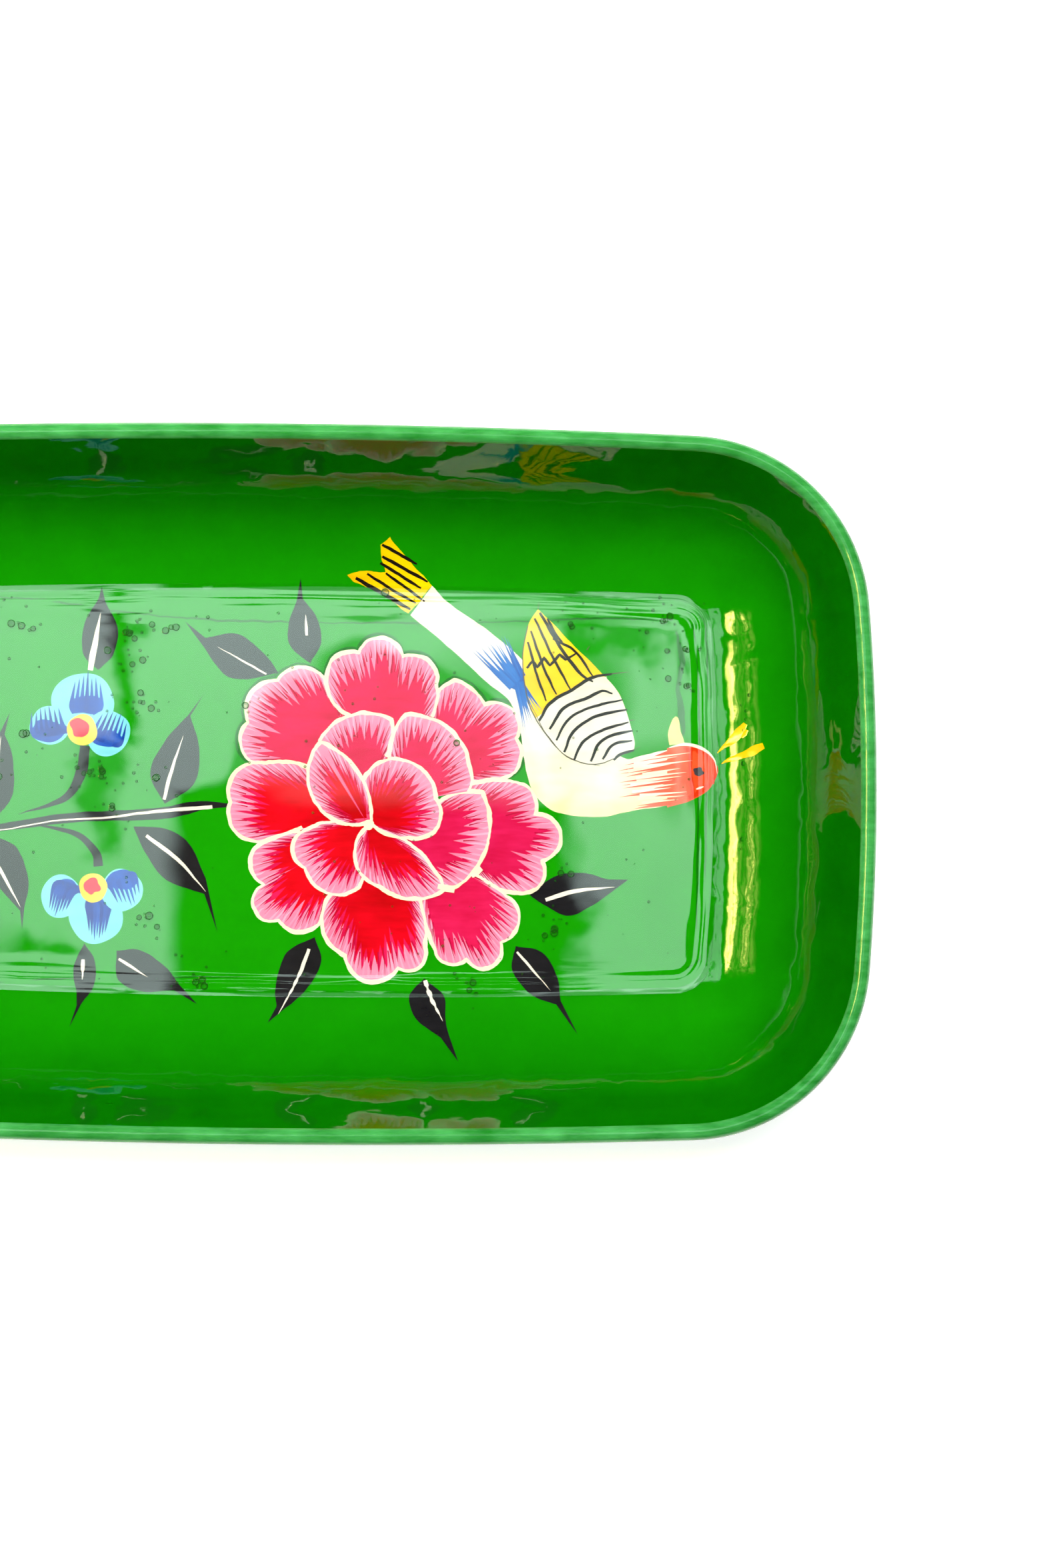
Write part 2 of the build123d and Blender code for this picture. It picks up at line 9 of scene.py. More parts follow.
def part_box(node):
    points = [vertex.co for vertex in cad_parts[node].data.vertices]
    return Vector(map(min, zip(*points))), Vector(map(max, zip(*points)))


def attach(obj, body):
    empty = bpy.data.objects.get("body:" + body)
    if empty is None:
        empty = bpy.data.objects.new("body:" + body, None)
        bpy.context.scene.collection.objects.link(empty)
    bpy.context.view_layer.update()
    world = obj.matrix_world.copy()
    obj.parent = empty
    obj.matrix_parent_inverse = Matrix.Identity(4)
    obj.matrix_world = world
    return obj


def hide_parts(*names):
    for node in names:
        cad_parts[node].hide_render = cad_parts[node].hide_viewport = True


# Painted enamel tray: green enamel dish, brushwork on its floor and a clear coat pooled over it.
# Drawing values are millimetres, turned into metres when a mesh is made.
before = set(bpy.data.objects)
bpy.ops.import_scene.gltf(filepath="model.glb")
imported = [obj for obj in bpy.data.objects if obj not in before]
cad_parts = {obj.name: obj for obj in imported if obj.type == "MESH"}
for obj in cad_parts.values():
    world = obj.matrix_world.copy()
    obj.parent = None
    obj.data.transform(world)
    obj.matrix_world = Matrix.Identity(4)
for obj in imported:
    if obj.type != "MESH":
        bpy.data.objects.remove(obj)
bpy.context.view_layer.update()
mm = 0.001
print("frame loaded:", len(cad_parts), "nodes")


def newObject(name, data):
    made = bpy.data.objects.new(name, data)
    bpy.context.scene.collection.objects.link(made)
    return made


# camera first
cameraSetup = {
    "place": (6.2, -51.7, 808.1), "tilt": (0.0666, -0.0536, 0.0099), "lens": 69.08, "sensor": 36,
    "clip": (0.05, 20),
}


def makeCamera(setup):
    data = bpy.data.cameras.new("camera")
    data.lens = setup["lens"]
    data.sensor_width = setup["sensor"]
    data.clip_start, data.clip_end = setup["clip"]
    camera = newObject("camera", data)
    place = Matrix.Translation(Vector(setup["place"]) * mm)
    for angle, axis in zip(setup["tilt"], "XYZ"):
        place = place @ Matrix.Rotation(angle, 4, axis)
    camera.matrix_world = place
    bpy.context.scene.camera = camera


makeCamera(cameraSetup)
print("camera placed")


# form of the tray, the same section and outline as the steel inside it
trayForm = {
    "sideRadius": 2800.0, "endRadius": 610.0, "cornerRadius": 47.5,
    "sheet": 0.8, "coat": 0.15, "coveRadius": 38.15, "wallSlope": 66.0, "wallLength": 12.8,
    "wireRoom": 1.3, "clearDepth": 0.6,
}
rimLow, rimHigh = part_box("outer_enamel")
halfLength = (rimHigh.x - rimLow.x) / 2 / mm
halfWidth = (rimHigh.y - rimLow.y) / 2 / mm
sheet, coat = trayForm["sheet"], trayForm["coat"]
coveRadius = trayForm["coveRadius"]
slope = math.radians(trayForm["wallSlope"])
beadRadius = trayForm["wireRoom"] + sheet  # over the rolled steel
rimRadius = beadRadius + coat
coveToBead = coveRadius + beadRadius
floorInset = rimRadius + coveToBead * math.sin(slope) + trayForm["wallLength"] * math.cos(slope)
enamelFloor = coat + sheet + coat
coveCentreZ = coat + sheet + coveRadius
poolLevel = enamelFloor + trayForm["clearDepth"]


def cornerCentre():
    sideY = halfWidth - trayForm["sideRadius"]
    endX = halfLength - trayForm["endRadius"]
    toSide = trayForm["sideRadius"] - trayForm["cornerRadius"]
    toEnd = trayForm["endRadius"] - trayForm["cornerRadius"]
    span = math.hypot(endX, sideY)
    run = (toSide ** 2 - toEnd ** 2 + span ** 2) / (2 * span)
    rise = math.sqrt(toSide ** 2 - run ** 2)
    ux, uy = endX / span, -sideY / span
    return run * ux + rise * uy, sideY + run * uy - rise * ux


cornerX, cornerY = cornerCentre()
sideY = halfWidth - trayForm["sideRadius"]
endX = halfLength - trayForm["endRadius"]
sideHalf = math.atan2(cornerX, cornerY - sideY)
endHalf = math.atan2(cornerY, cornerX - endX)
outlineSteps = {"side": 12, "corner": 26, "end": 10}  # per quarter of the outline


def quarterPoints(inset):
    points = []
    for i in range(outlineSteps["end"]):
        a = endHalf * i / outlineSteps["end"]
        r = trayForm["endRadius"] - inset
        points.append((endX + r * math.cos(a), r * math.sin(a)))
    for i in range(outlineSteps["corner"]):
        a = endHalf + (math.pi / 2 - sideHalf - endHalf) * i / outlineSteps["corner"]
        r = trayForm["cornerRadius"] - inset
        points.append((cornerX + r * math.cos(a), cornerY + r * math.sin(a)))
    for i in range(outlineSteps["side"] + 1):
        a = sideHalf * (1 - i / outlineSteps["side"])
        r = trayForm["sideRadius"] - inset
        points.append((r * math.sin(a), sideY + r * math.cos(a)))
    return points


def outlinePoints(inset):
    quarter = quarterPoints(inset)
    half = quarter + [(-x, y) for x, y in reversed(quarter[:-1])]
    return half + [(x, -y) for x, y in reversed(half[1:-1])]


def insetAt(x, y):  # how far a point lies inside the rim's outer edge
    x, y = abs(x), abs(y)
    turn = math.atan2(y - cornerY, x - cornerX)
    if endHalf < turn < math.pi / 2 - sideHalf:
        return trayForm["cornerRadius"] - math.hypot(x - cornerX, y - cornerY)
    toSide = trayForm["sideRadius"] - math.hypot(x, y - sideY)
    toEnd = trayForm["endRadius"] - math.hypot(x - endX, y)
    return min(toSide, toEnd)


def faceHeight(x, y, lift):  # level of the painted face, lift above the enamel
    reach = floorInset - insetAt(x, y)
    if reach <= 0:
        return enamelFloor + lift
    radius = coveRadius - coat - lift
    return coveCentreZ - math.sqrt(radius ** 2 - min(reach, radius * 0.9) ** 2)


# shader helpers
def setInputs(node, values):  # a value that is a socket of another node is linked in
    for name, value in values.items():
        if isinstance(value, bpy.types.NodeSocket):
            node.id_data.links.new(value, node.inputs[name])
        else:
            node.inputs[name].default_value = value


def addNode(tree, kind, values=None, **settings):
    node = tree.nodes.new("ShaderNode" + kind)
    for name, value in settings.items():
        setattr(node, name, value)
    setInputs(node, values or {})
    return node


def feed(tree, kind, output, values=None, **settings):
    return addNode(tree, kind, values, **settings).outputs[output]


def compute(tree, operation, first, second, **settings):
    return feed(tree, "Math", 0, {0: first, 1: second}, operation=operation, **settings)


def newGroup(name, inputs, outputs):
    group = bpy.data.node_groups.new(name, "ShaderNodeTree")
    for label, kind, value in inputs:
        socket = group.interface.new_socket(label, in_out="INPUT", socket_type="NodeSocket" + kind)
        socket.default_value = value
    for label, kind in outputs:
        group.interface.new_socket(label, in_out="OUTPUT", socket_type="NodeSocket" + kind)
    return group, group.nodes.new("NodeGroupInput").outputs, group.nodes.new("NodeGroupOutput")


def makeBrushMarks():  # brush streaks: a colour between two tones, and their height
    group, given, out = newGroup(
        "brushMarks",
        [("Light", "Color", (1, 1, 1, 1)), ("Dark", "Color", (0, 0, 0, 1)), ("Scale", "Float", 500.0),
         ("Amount", "Float", 0.5), ("Load", "Float", 0.0), ("Turn", "Vector", (0, 0, 0))],
        [("Color", "Color"), ("Height", "Float")])
    place = feed(group, "TexCoord", "Object")
    turned = feed(group, "Mapping", "Vector", {"Vector": place, "Rotation": given["Turn"],
                                               "Scale": (0.22, 1, 1)})
    streaks = feed(group, "TexNoise", "Fac", {"Vector": turned, "Scale": given["Scale"], "Detail": 3,
                                              "Roughness": 0.6})
    clouds = feed(group, "TexNoise", "Fac", {"Vector": place, "Scale": 90, "Detail": 2})
    centred = compute(group, "SUBTRACT", compute(group, "ADD", streaks, clouds), 1.0)
    scaled = compute(group, "MULTIPLY", centred, given["Amount"])
    shifted = compute(group, "ADD", scaled, given["Load"], use_clamp=True)
    tone = feed(group, "Mix", "Result", {"Factor": shifted, "A": given["Light"], "B": given["Dark"]},
                data_type="RGBA")
    setInputs(out, {"Color": tone, "Height": streaks})
    return group


def makeSurfaceFlow():  # slow waves and fine grain of a surface that was poured or dipped
    group, given, out = newGroup(
        "surfaceFlow",
        [("Wave Scale", "Float", 40.0), ("Wave", "Float", 1.0), ("Grain Scale", "Float", 1200.0),
         ("Grain", "Float", 0.1)],
        [("Height", "Float")])
    place = feed(group, "TexCoord", "Object")
    waves = feed(group, "TexNoise", "Fac", {"Vector": place, "Scale": given["Wave Scale"], "Detail": 1.5,
                                            "Roughness": 0.4, "Distortion": 0.3})
    grain = feed(group, "TexNoise", "Fac", {"Vector": place, "Scale": given["Grain Scale"], "Detail": 2})
    waved = compute(group, "MULTIPLY", waves, given["Wave"])
    grained = compute(group, "MULTIPLY", grain, given["Grain"])
    setInputs(out, {"Height": compute(group, "ADD", waved, grained)})
    return group


brushMarks = makeBrushMarks()
surfaceFlow = makeSurfaceFlow()
paintFinish = {"roughness": 0.5, "shine": 0.08, "relief": 0.04, "coatRoughness": 0.06, "coatOver": 0.3}


def newMaterial(name):
    material = bpy.data.materials.new(name)
    material.use_nodes = True
    return material, material.node_tree, material.node_tree.nodes["Principled BSDF"]


def addMarks(tree, look, load=0.0):
    return addNode(tree, "Group", {
        "Light": (*look["light"], 1), "Dark": (*look["dark"], 1), "Scale": look.get("scale", 500),
        "Amount": look["amount"], "Turn": (0, 0, math.radians(look.get("turn", 0))), "Load": load,
    }, node_tree=brushMarks).outputs


def flowNormal(tree, look):
    height = feed(tree, "Group", "Height", {"Wave Scale": look["waveScale"], "Grain": look["grain"]},
                  node_tree=surfaceFlow)
    return feed(tree, "Bump", "Normal", {"Height": height, "Strength": 1.0, "Distance": look["wave"] * mm})


def byHeight(tree, low, high, first=0.0, last=1.0):
    split = addNode(tree, "SeparateXYZ", {"Vector": feed(tree, "NewGeometry", "Position")})
    return feed(tree, "MapRange", "Result", {"Value": split.outputs["Z"], "From Min": low * mm,
                                             "From Max": high * mm, "To Min": first, "To Max": last})


def showThrough(tree, surface, share):  # the surface's share of the light, the rest goes straight through
    mix = feed(tree, "MixShader", "Shader", {"Fac": share, 1: feed(tree, "BsdfTransparent", "BSDF"),
                                             2: surface.outputs["BSDF"]})
    setInputs(tree.nodes["Material Output"], {"Surface": mix})


def paintMaterial(name, look):
    material, tree, surface = newMaterial(name)
    finish = paintFinish
    marks = addMarks(tree, look, feed(tree, "Attribute", "Fac", attribute_name="brushLoad"))
    normal = feed(tree, "Bump", "Normal", {"Height": marks["Height"], "Strength": 0.25,
                                           "Distance": finish["relief"] * mm})
    # paint that climbs out of the clear pool has its own glossy coat
    gloss = byHeight(tree, poolLevel, poolLevel + finish["coatOver"])
    setInputs(surface, {
        "Base Color": marks["Color"], "Roughness": finish["roughness"], "Normal": normal,
        "Specular IOR Level": finish["shine"], "Coat Roughness": finish["coatRoughness"],
        "Coat Weight": gloss})
    return material


def enamelMaterial(name, look):
    material, tree, surface = newMaterial(name)
    # painted shade: the enamel's tone is painted darker up the walls, where less light falls on it
    marks = addMarks(tree, look, byHeight(tree, look["shadeFrom"], look["shadeFull"], 0.05, look["shadeMost"]))
    setInputs(surface, {"Base Color": marks["Color"], "Roughness": look["roughness"],
                        "Specular IOR Level": look["shine"], "Normal": flowNormal(tree, look)})
    return material


def steelMaterial(name, tone):
    material, tree, surface = newMaterial(name)
    bright, dull = (tone, tone, tone * 1.02), (tone * 0.6, tone * 0.6, tone * 0.62)
    marks = addMarks(tree, {"light": bright, "dark": dull, "amount": 0.5})
    rough = feed(tree, "MapRange", "Result", {"Value": marks["Height"], "To Min": 0.3, "To Max": 0.5})
    setInputs(surface, {"Base Color": marks["Color"], "Metallic": 1.0, "Roughness": rough})
    return material


def clearMaterial(name, look):  # mirrors by its Fresnel share and lets the rest through
    material, tree, surface = newMaterial(name)
    setInputs(surface, {"Base Color": (1, 1, 1, 1), "Metallic": 1.0, "Roughness": look["roughness"],
                        "Normal": flowNormal(tree, look)})
    fresnel = feed(tree, "Fresnel", "Fac", {"IOR": look["ior"]})
    front = compute(tree, "SUBTRACT", 1.0, feed(tree, "NewGeometry", "Backfacing"))
    showThrough(tree, surface, compute(tree, "MULTIPLY", fresnel, front))
    return material


# pieces
def addPiece(name, verts, faces, materials, replaces=(), loads=None, tones=None):
    mesh = bpy.data.meshes.new(name)
    mesh.from_pydata([(x * mm, y * mm, z * mm) for x, y, z in verts], [], faces)
    for material in materials:
        mesh.materials.append(material)
    if loads:
        load = mesh.attributes.new("brushLoad", "FLOAT", "POINT")
        load.data.foreach_set("value", loads)
    if tones:
        mesh.polygons.foreach_set("material_index", tones)
    mesh.shade_smooth()
    mesh.update()
    piece = newObject(name, mesh)
    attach(piece, "root")
    if replaces:
        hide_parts(*replaces)


# enamel over the whole tray, its tone painted darker up the walls as painted shade
enamelLook = {
    "light": (0.005, 0.245, 0.0004), "dark": (0.0004, 0.105, 0.0001), "scale": 60, "amount": 0.35,
    "shadeFrom": 1.3, "shadeFull": 21.0, "shadeMost": 0.8, "turn": 0,
    "roughness": 0.035, "shine": 0.5, "waveScale": 95, "wave": 0.3, "grain": 0.01,
}
# painted light: the enamel under the pool is painted lighter than the rest, making up for the light the
# clear coat takes
underPoolLook = {
    **enamelLook, "light": (0.0065, 0.29, 0.0005), "dark": (0.003, 0.20, 0.0002), "shine": 0.02,
    "roughness": 0.5,
}
# painted highlight: the enamel on the rims is painted paler, with pale streaks along the bead, standing in
# for the light the bead catches
rimHighlightLook = {
    **enamelLook, "light": (0.075, 0.43, 0.11), "dark": (0.004, 0.17, 0.006), "scale": 520, "amount": 1.1,
    "shadeFull": 60.0, "roughness": 0.12, "grain": 0.03,
}
skinSteps = {"cove": 26, "bead": 44, "floor": 8, "fillet": 4}
# where the skin's tones part: depth and reach of the bead, start of the ends, reach of the pool
skinParts = {"beadDepth": 1.35, "beadReach": 2.1, "endsFrom": 0.91, "wetReach": 6.2}
steelTones = {"tray_shell": 0.45, "rim_wire": 0.5}


def arcSection(centreInset, centreZ, radius, start, stop, steps):  # angles from straight out, in radians
    turns = [start + (stop - start) * i / steps for i in range(steps + 1)]
    return [(centreInset - radius * math.cos(a), centreZ + radius * math.sin(a)) for a in turns]


def skinSection():  # from the inside floor, over the rim, to the underside, as (inset, height)
    inner = arcSection(floorInset, coveCentreZ, coveRadius - coat, -math.pi / 2, slope - math.pi / 2,
                       skinSteps["cove"])
    beadInset = floorInset - coveToBead * math.sin(slope) - trayForm["wallLength"] * math.cos(slope)
    beadZ = coveCentreZ - coveToBead * math.cos(slope) + trayForm["wallLength"] * math.sin(slope)
    cap = math.pi / 2 + slope
    under = math.acos((beadRadius - sheet - coat) / rimRadius)
    bead = arcSection(beadInset, beadZ, rimRadius, cap, under + cap - 2 * math.pi + math.radians(16),
                      skinSteps["bead"])
    outer = arcSection(floorInset, coveCentreZ, coveRadius + sheet + coat, slope - math.pi / 2,
                       -math.pi / 2, skinSteps["cove"])
    wallUp = 0.86 * trayForm["wallLength"]
    startOuter = (outer[0][0] - wallUp * math.cos(slope), outer[0][1] + wallUp * math.sin(slope))
    fillet = []
    for i in range(1, skinSteps["fillet"]):
        t = i / skinSteps["fillet"]
        ends = [bead[-1][k] * (1 - t) + startOuter[k] * t for k in (0, 1)]
        bow = 0.35 * math.sin(math.pi * t)
        fillet.append((ends[0] + bow * math.sin(slope), ends[1] + bow * math.cos(slope)))
    return inner, bead, fillet + [startOuter], outer


def floorRings(level):
    steps = skinSteps["floor"]
    base = outlinePoints(floorInset)
    return [[(x * s, y * s, level) for x, y in base] for s in [1 - i / steps for i in range(1, steps)]]


def joinRings(rings, hubs):  # each hub: the ring it closes, its level, whether its fan is turned over
    count = len(rings[0])
    verts = [p for ring in rings for p in ring]
    faces = []
    for r in range(len(rings) - 1):
        for i in range(count):
            j = (i + 1) % count
            faces.append((r * count + i, r * count + j, (r + 1) * count + j, (r + 1) * count + i))
    for r, level, flip in hubs:
        middle = len(verts)
        verts.append((0, 0, level))
        for i in range(count):
            ends = (r * count + i, r * count + (i + 1) % count)
            faces.append((middle, ends[1], ends[0]) if flip else (middle, ends[0], ends[1]))
    return verts, faces


def makeEnamel():
    inner, bead, fillet, outer = skinSection()
    walls = [[(x, y, z) for x, y in outlinePoints(inset)] for inset, z in inner + bead + fillet + outer]
    rings = list(reversed(floorRings(enamelFloor))) + walls + floorRings(0.0)
    verts, faces = joinRings(rings, [(0, enamelFloor, False), (len(rings) - 1, 0.0, True)])
    tones = []
    beadBase = max(z for inset, z in bead) - skinParts["beadDepth"] * rimRadius
    for face in faces:
        height = sum(verts[i][2] for i in face) / len(face)
        lowest = min(insetAt(verts[i][0], verts[i][1]) for i in face)
        wet = enamelFloor - 0.01 < height < poolLevel - 0.02 and lowest > floorInset - skinParts["wetReach"]
        onBead = height > beadBase and lowest < skinParts["beadReach"] * rimRadius
        alongEnd = abs(verts[face[0]][0]) > skinParts["endsFrom"] * halfLength
        tones.append((3 if alongEnd else 2) if onBead else 1 if wet else 0)
    # the enamel on the bead carries the painted highlight
    materials = [
        enamelMaterial("green enamel", enamelLook),
        enamelMaterial("green enamel under the pool", underPoolLook),
        enamelMaterial("green enamel on the side rims", rimHighlightLook),
        enamelMaterial("green enamel on the end rims", {**rimHighlightLook, "turn": 90}),
    ]
    flipped = [tuple(reversed(face)) for face in faces]
    addPiece("enamelSkin", verts, flipped, materials,
             ("inner_enamel", "outer_enamel", "base_enamel"), tones=tones)
    for node, tone in steelTones.items():
        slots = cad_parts[node].data.materials
        steel = steelMaterial(node + " steel", tone)
        if len(slots):
            slots[0] = steel
        else:
            slots.append(steel)
    print("enamel skin:", len(verts), "points")


makeEnamel()


# clear coat, pooled over the floor and drawn up a little where it meets the cove
poolLook = {"ior": 1.7, "roughness": 0.02, "waveScale": 28, "wave": 0.16, "grain": 0.0}
poolShape = {
    "meniscus": 0.16, "meniscusReach": 1.3, "ridge": 0.05, "ridgePlace": 7.0, "ridgeWidth": 1.5,
    "ripple": 0.010, "rippleLength": 1.9, "rippleAt": 3.2, "rippleWidth": 2.2, "swell": 0.05,
    "swellLength": 34.0, "fadeOver": 4, "patch": 23, "wander": 2.2, "heavyFrom": 78, "heavyOver": 12,
    "rings": 46, "edgeRings": 40, "sink": 0.02, "under": 0.003,
}
poolReach = math.sqrt((coveRadius - coat) ** 2 - (coveCentreZ - poolLevel) ** 2)  # out on the cove


def poolHeight(x, y, fromEdge):
    shape = poolShape
    place = Vector((x / shape["patch"], y / shape["patch"], 3.1))
    rise = shape["meniscus"] * math.exp(-fromEdge / shape["meniscusReach"])
    uneven = 0.6 + 0.9 * noise.noise(place)
    centre = shape["ridgePlace"] + shape["wander"] * noise.noise(place * 1.7)
    uneven += 0.9 * max(0.0, min(1.0, (x - shape["heavyFrom"]) / shape["heavyOver"]))
    ridge = shape["ridge"] * uneven * math.exp(-(((fromEdge - centre) / shape["ridgeWidth"]) ** 2))
    waver = fromEdge + noise.noise(place * 3)
    ripple = shape["ripple"] * math.sin(2 * math.pi * waver / shape["rippleLength"])
    ripple *= math.exp(-(((fromEdge - shape["rippleAt"]) / shape["rippleWidth"]) ** 2))
    swell = shape["swell"] * noise.noise(Vector((x, y, 7.0)) / shape["swellLength"])
    fade = min(1.0, fromEdge / shape["fadeOver"])
    return poolLevel - shape["sink"] + rise + (ridge + swell) * fade + ripple


def makePool(material):
    base = outlinePoints(floorInset)
    under = poolShape["under"]
    tops, bottoms = [], []
    for i in range(poolShape["edgeRings"] + 1):  # over the cove, finely spaced
        fromEdge = poolReach * (i / poolShape["edgeRings"]) ** 1.2
        points = outlinePoints(floorInset - poolReach + fromEdge)
        tops.append([(x, y, poolHeight(x, y, fromEdge)) for x, y in points])
        bottoms.append([(x, y, faceHeight(x, y, under)) for x, y in points])
    for i in range(1, poolShape["rings"]):
        s = 1 - i / poolShape["rings"]
        ring = [(x * s, y * s) for x, y in base]
        tops.append([(x, y, poolHeight(x, y, insetAt(x, y) - floorInset + poolReach)) for x, y in ring])
        bottoms.append([(x, y, enamelFloor + under) for x, y in ring])
    rings = list(reversed(tops)) + bottoms[1:]
    hubs = [(0, poolHeight(0, 0, 50), True), (len(rings) - 1, enamelFloor + under, False)]
    verts, faces = joinRings(rings, hubs)
    turned = [(face[0], *reversed(face[1:])) for face in faces]
    addPiece("clearPool", verts, turned, [material], ("clear_coat",))


bubbleSetup = {
    "seed": 11, "loose": 150, "sizes": (0.2, 0.5), "ringSize": (0.6, 1.15),
    "clusters": [(-55, 42, 3), (-56, 37, 4), (-53, 21, 4), (-45, 43, 3), (-62, 5, 4), (-67, 4, 3),
                 (-82, 12, 2), (-50, 2, 2), (-49, -36, 3), (-38, -52, 3), (57, -34, 3), (87, 46, 4),
                 (91, 39, 3), (94, 30, 3), (14, 52, 2), (64, 46, 2), (36, -52, 3), (31, 16, 1),
                 (-84, 44, 3), (-97, 40, 3), (-24, 24, 1), (-59, -5, 2), (-89, 6, 2), (60, -20, 2)],
    "streak": (109, -15, 28, 9), "field": ((-98, 99), (-52, 52)), "spread": 2.1, "scatter": 3.4,
}


def addBubble(verts, faces, x, y, size, height, base):
    around, up = 14, 4
    start = len(verts)
    for k in range(up + 1):
        a = math.pi / 2 * k / up
        r = size * math.cos(a)
        if k < up:
            for i in range(around):
                t = 2 * math.pi * i / around
                verts.append((x + r * math.cos(t), y + r * math.sin(t), base + height * math.sin(a)))
        else:
            verts.append((x, y, base + height))
    for k in range(up - 1):
        for i in range(around):
            j = (i + 1) % around
            low, high = start + k * around, start + (k + 1) * around
            faces.append((low + i, low + j, high + j, high + i))
    top = start + up * around
    last = start + (up - 1) * around
    for i in range(around):
        faces.append((last + i, last + (i + 1) % around, top))
    faces.append(tuple(start + i for i in reversed(range(around))))


def makeBubbles(material):
    setup = bubbleSetup
    draw = random.Random(setup["seed"])
    verts, faces = [], []

    def drop(x, y, size):
        inset = insetAt(x, y)
        if inset > floorInset - poolReach + 1:
            base = poolHeight(x, y, inset - floorInset + poolReach) - 0.02
        else:
            base = faceHeight(x, y, 0.0) - 0.02
        addBubble(verts, faces, x, y, size, size * 0.6, base)

    across, along = setup["field"]
    for i in range(setup["loose"]):
        drop(draw.uniform(*across), draw.uniform(*along), draw.uniform(*setup["sizes"]) ** 1.3)
    for x, y, count in setup["clusters"]:
        for total, spread, sizes in ((count, "spread", "ringSize"), (count * 2, "scatter", "sizes")):
            for i in range(total):
                drop(x + draw.gauss(0, setup[spread]), y + draw.gauss(0, setup[spread]),
                     draw.uniform(*setup[sizes]))
    x, low, high, count = setup["streak"]
    for i in range(count):
        drop(x + draw.gauss(0, 0.8), draw.uniform(low, high), draw.uniform(0.25, 0.7))
    addPiece("poolBubbles", verts, faces, [material])
    print("bubbles:", len(faces), "faces")


def bubbleMaterial():  # painted shade: a dark green ring painted where the bubble turns away, standing in for the dark edge that bent light gives a bubble; clear in its middle
    material, tree, surface = newMaterial("bubble skin")
    marks = addMarks(tree, bubbleRingShade)
    turned = feed(tree, "LayerWeight", "Facing", {"Blend": 0.5})
    ring = feed(tree, "MapRange", "Result", {"Value": turned, "From Min": 0.22, "From Max": 0.5,
                                             "To Min": 0.12, "To Max": 0.85})
    setInputs(surface, {"Base Color": marks["Color"], "Roughness": bubbleRingShade["roughness"]})
    showThrough(tree, surface, ring)
    return material


bubbleRingShade = {"light": (0.02, 0.20, 0.01), "dark": (0.004, 0.09, 0.002), "amount": 0.5, "roughness": 0.06}
makePool(clearMaterial("clear coat", poolLook))
makeBubbles(bubbleMaterial())
print("clear pool poured")


# paths and strokes for the brushwork
def arcThrough(a, b, c, step):
    (ax, ay), (bx, by), (cx, cy) = a, b, c
    d = 2 * (ax * (by - cy) + bx * (cy - ay) + cx * (ay - by))
    if abs(d) < 1e-6:
        return [a, b, c]
    aa, bb, cc = ax * ax + ay * ay, bx * bx + by * by, cx * cx + cy * cy
    ox = (aa * (by - cy) + bb * (cy - ay) + cc * (ay - by)) / d
    oy = (aa * (cx - bx) + bb * (ax - cx) + cc * (bx - ax)) / d
    radius = math.hypot(ax - ox, ay - oy)
    start = math.atan2(ay - oy, ax - ox)
    middle = (math.atan2(by - oy, bx - ox) - start) % (2 * math.pi)
    whole = (math.atan2(cy - oy, cx - ox) - start) % (2 * math.pi)
    if middle > whole:
        whole -= 2 * math.pi
    count = max(3, int(abs(whole) * radius / step))
    turns = [start + whole * i / count for i in range(count + 1)]
    return [(ox + radius * math.cos(t), oy + radius * math.sin(t)) for t in turns]


def arcChain(points, step=0.6):
    path = []
    for a, b, c in zip(points[0:-2:2], points[1::2], points[2::2]):
        path += arcThrough(a, b, c, step)[:-1]
    return path + [points[-1]]


def smoothPath(points, step=0.6):
    if len(points) == 2:
        points = [points[0], tuple((points[0][k] + points[1][k]) / 2 for k in (0, 1)), points[1]]
    first = tuple(2 * points[0][k] - points[1][k] for k in (0, 1))
    last = tuple(2 * points[-1][k] - points[-2][k] for k in (0, 1))
    held = [first, *points, last]
    path = []
    for p0, p1, p2, p3 in zip(held, held[1:], held[2:], held[3:]):
        count = max(2, int(math.dist(p1, p2) / step))
        for i in range(count):
            t = i / count
            path.append(tuple(
                0.5 * (2 * p1[k] + (p2[k] - p0[k]) * t + (2 * p0[k] - 5 * p1[k] + 4 * p2[k] - p3[k]) * t ** 2
                       + (3 * p1[k] - p0[k] - 3 * p2[k] + p3[k]) * t ** 3) for k in (0, 1)))
    return path + [points[-1]]


def normalAt(path, i):  # unit vector across the path at one of its points
    before, after = path[max(0, i - 1)], path[min(len(path) - 1, i + 1)]
    dx, dy = after[0] - before[0], after[1] - before[1]
    size = math.hypot(dx, dy) or 1
    return -dy / size, dx / size


def handDrawn(path, amount, seed):  # a steady hand's wobble, along the path's normals
    out = []
    for i, (x, y) in enumerate(path):
        nx, ny = normalAt(path, i)
        slow = noise.noise(Vector((x / 3.1, y / 3.1, seed)))
        quick = noise.noise(Vector((x / 0.9, y / 0.9, seed + 5)))
        push = amount * (slow + 0.45 * quick)
        out.append((x + nx * push, y + ny * push))
    return out


def insideLoop(x, y, loop):
    inside = False
    j = len(loop) - 1
    for i in range(len(loop)):
        (xi, yi), (xj, yj) = loop[i], loop[j]
        if (yi > y) != (yj > y) and x < (xj - xi) * (y - yi) / (yj - yi) + xi:
            inside = not inside
        j = i
    return inside


def newSheet():
    return {"verts": [], "faces": [], "loads": []}


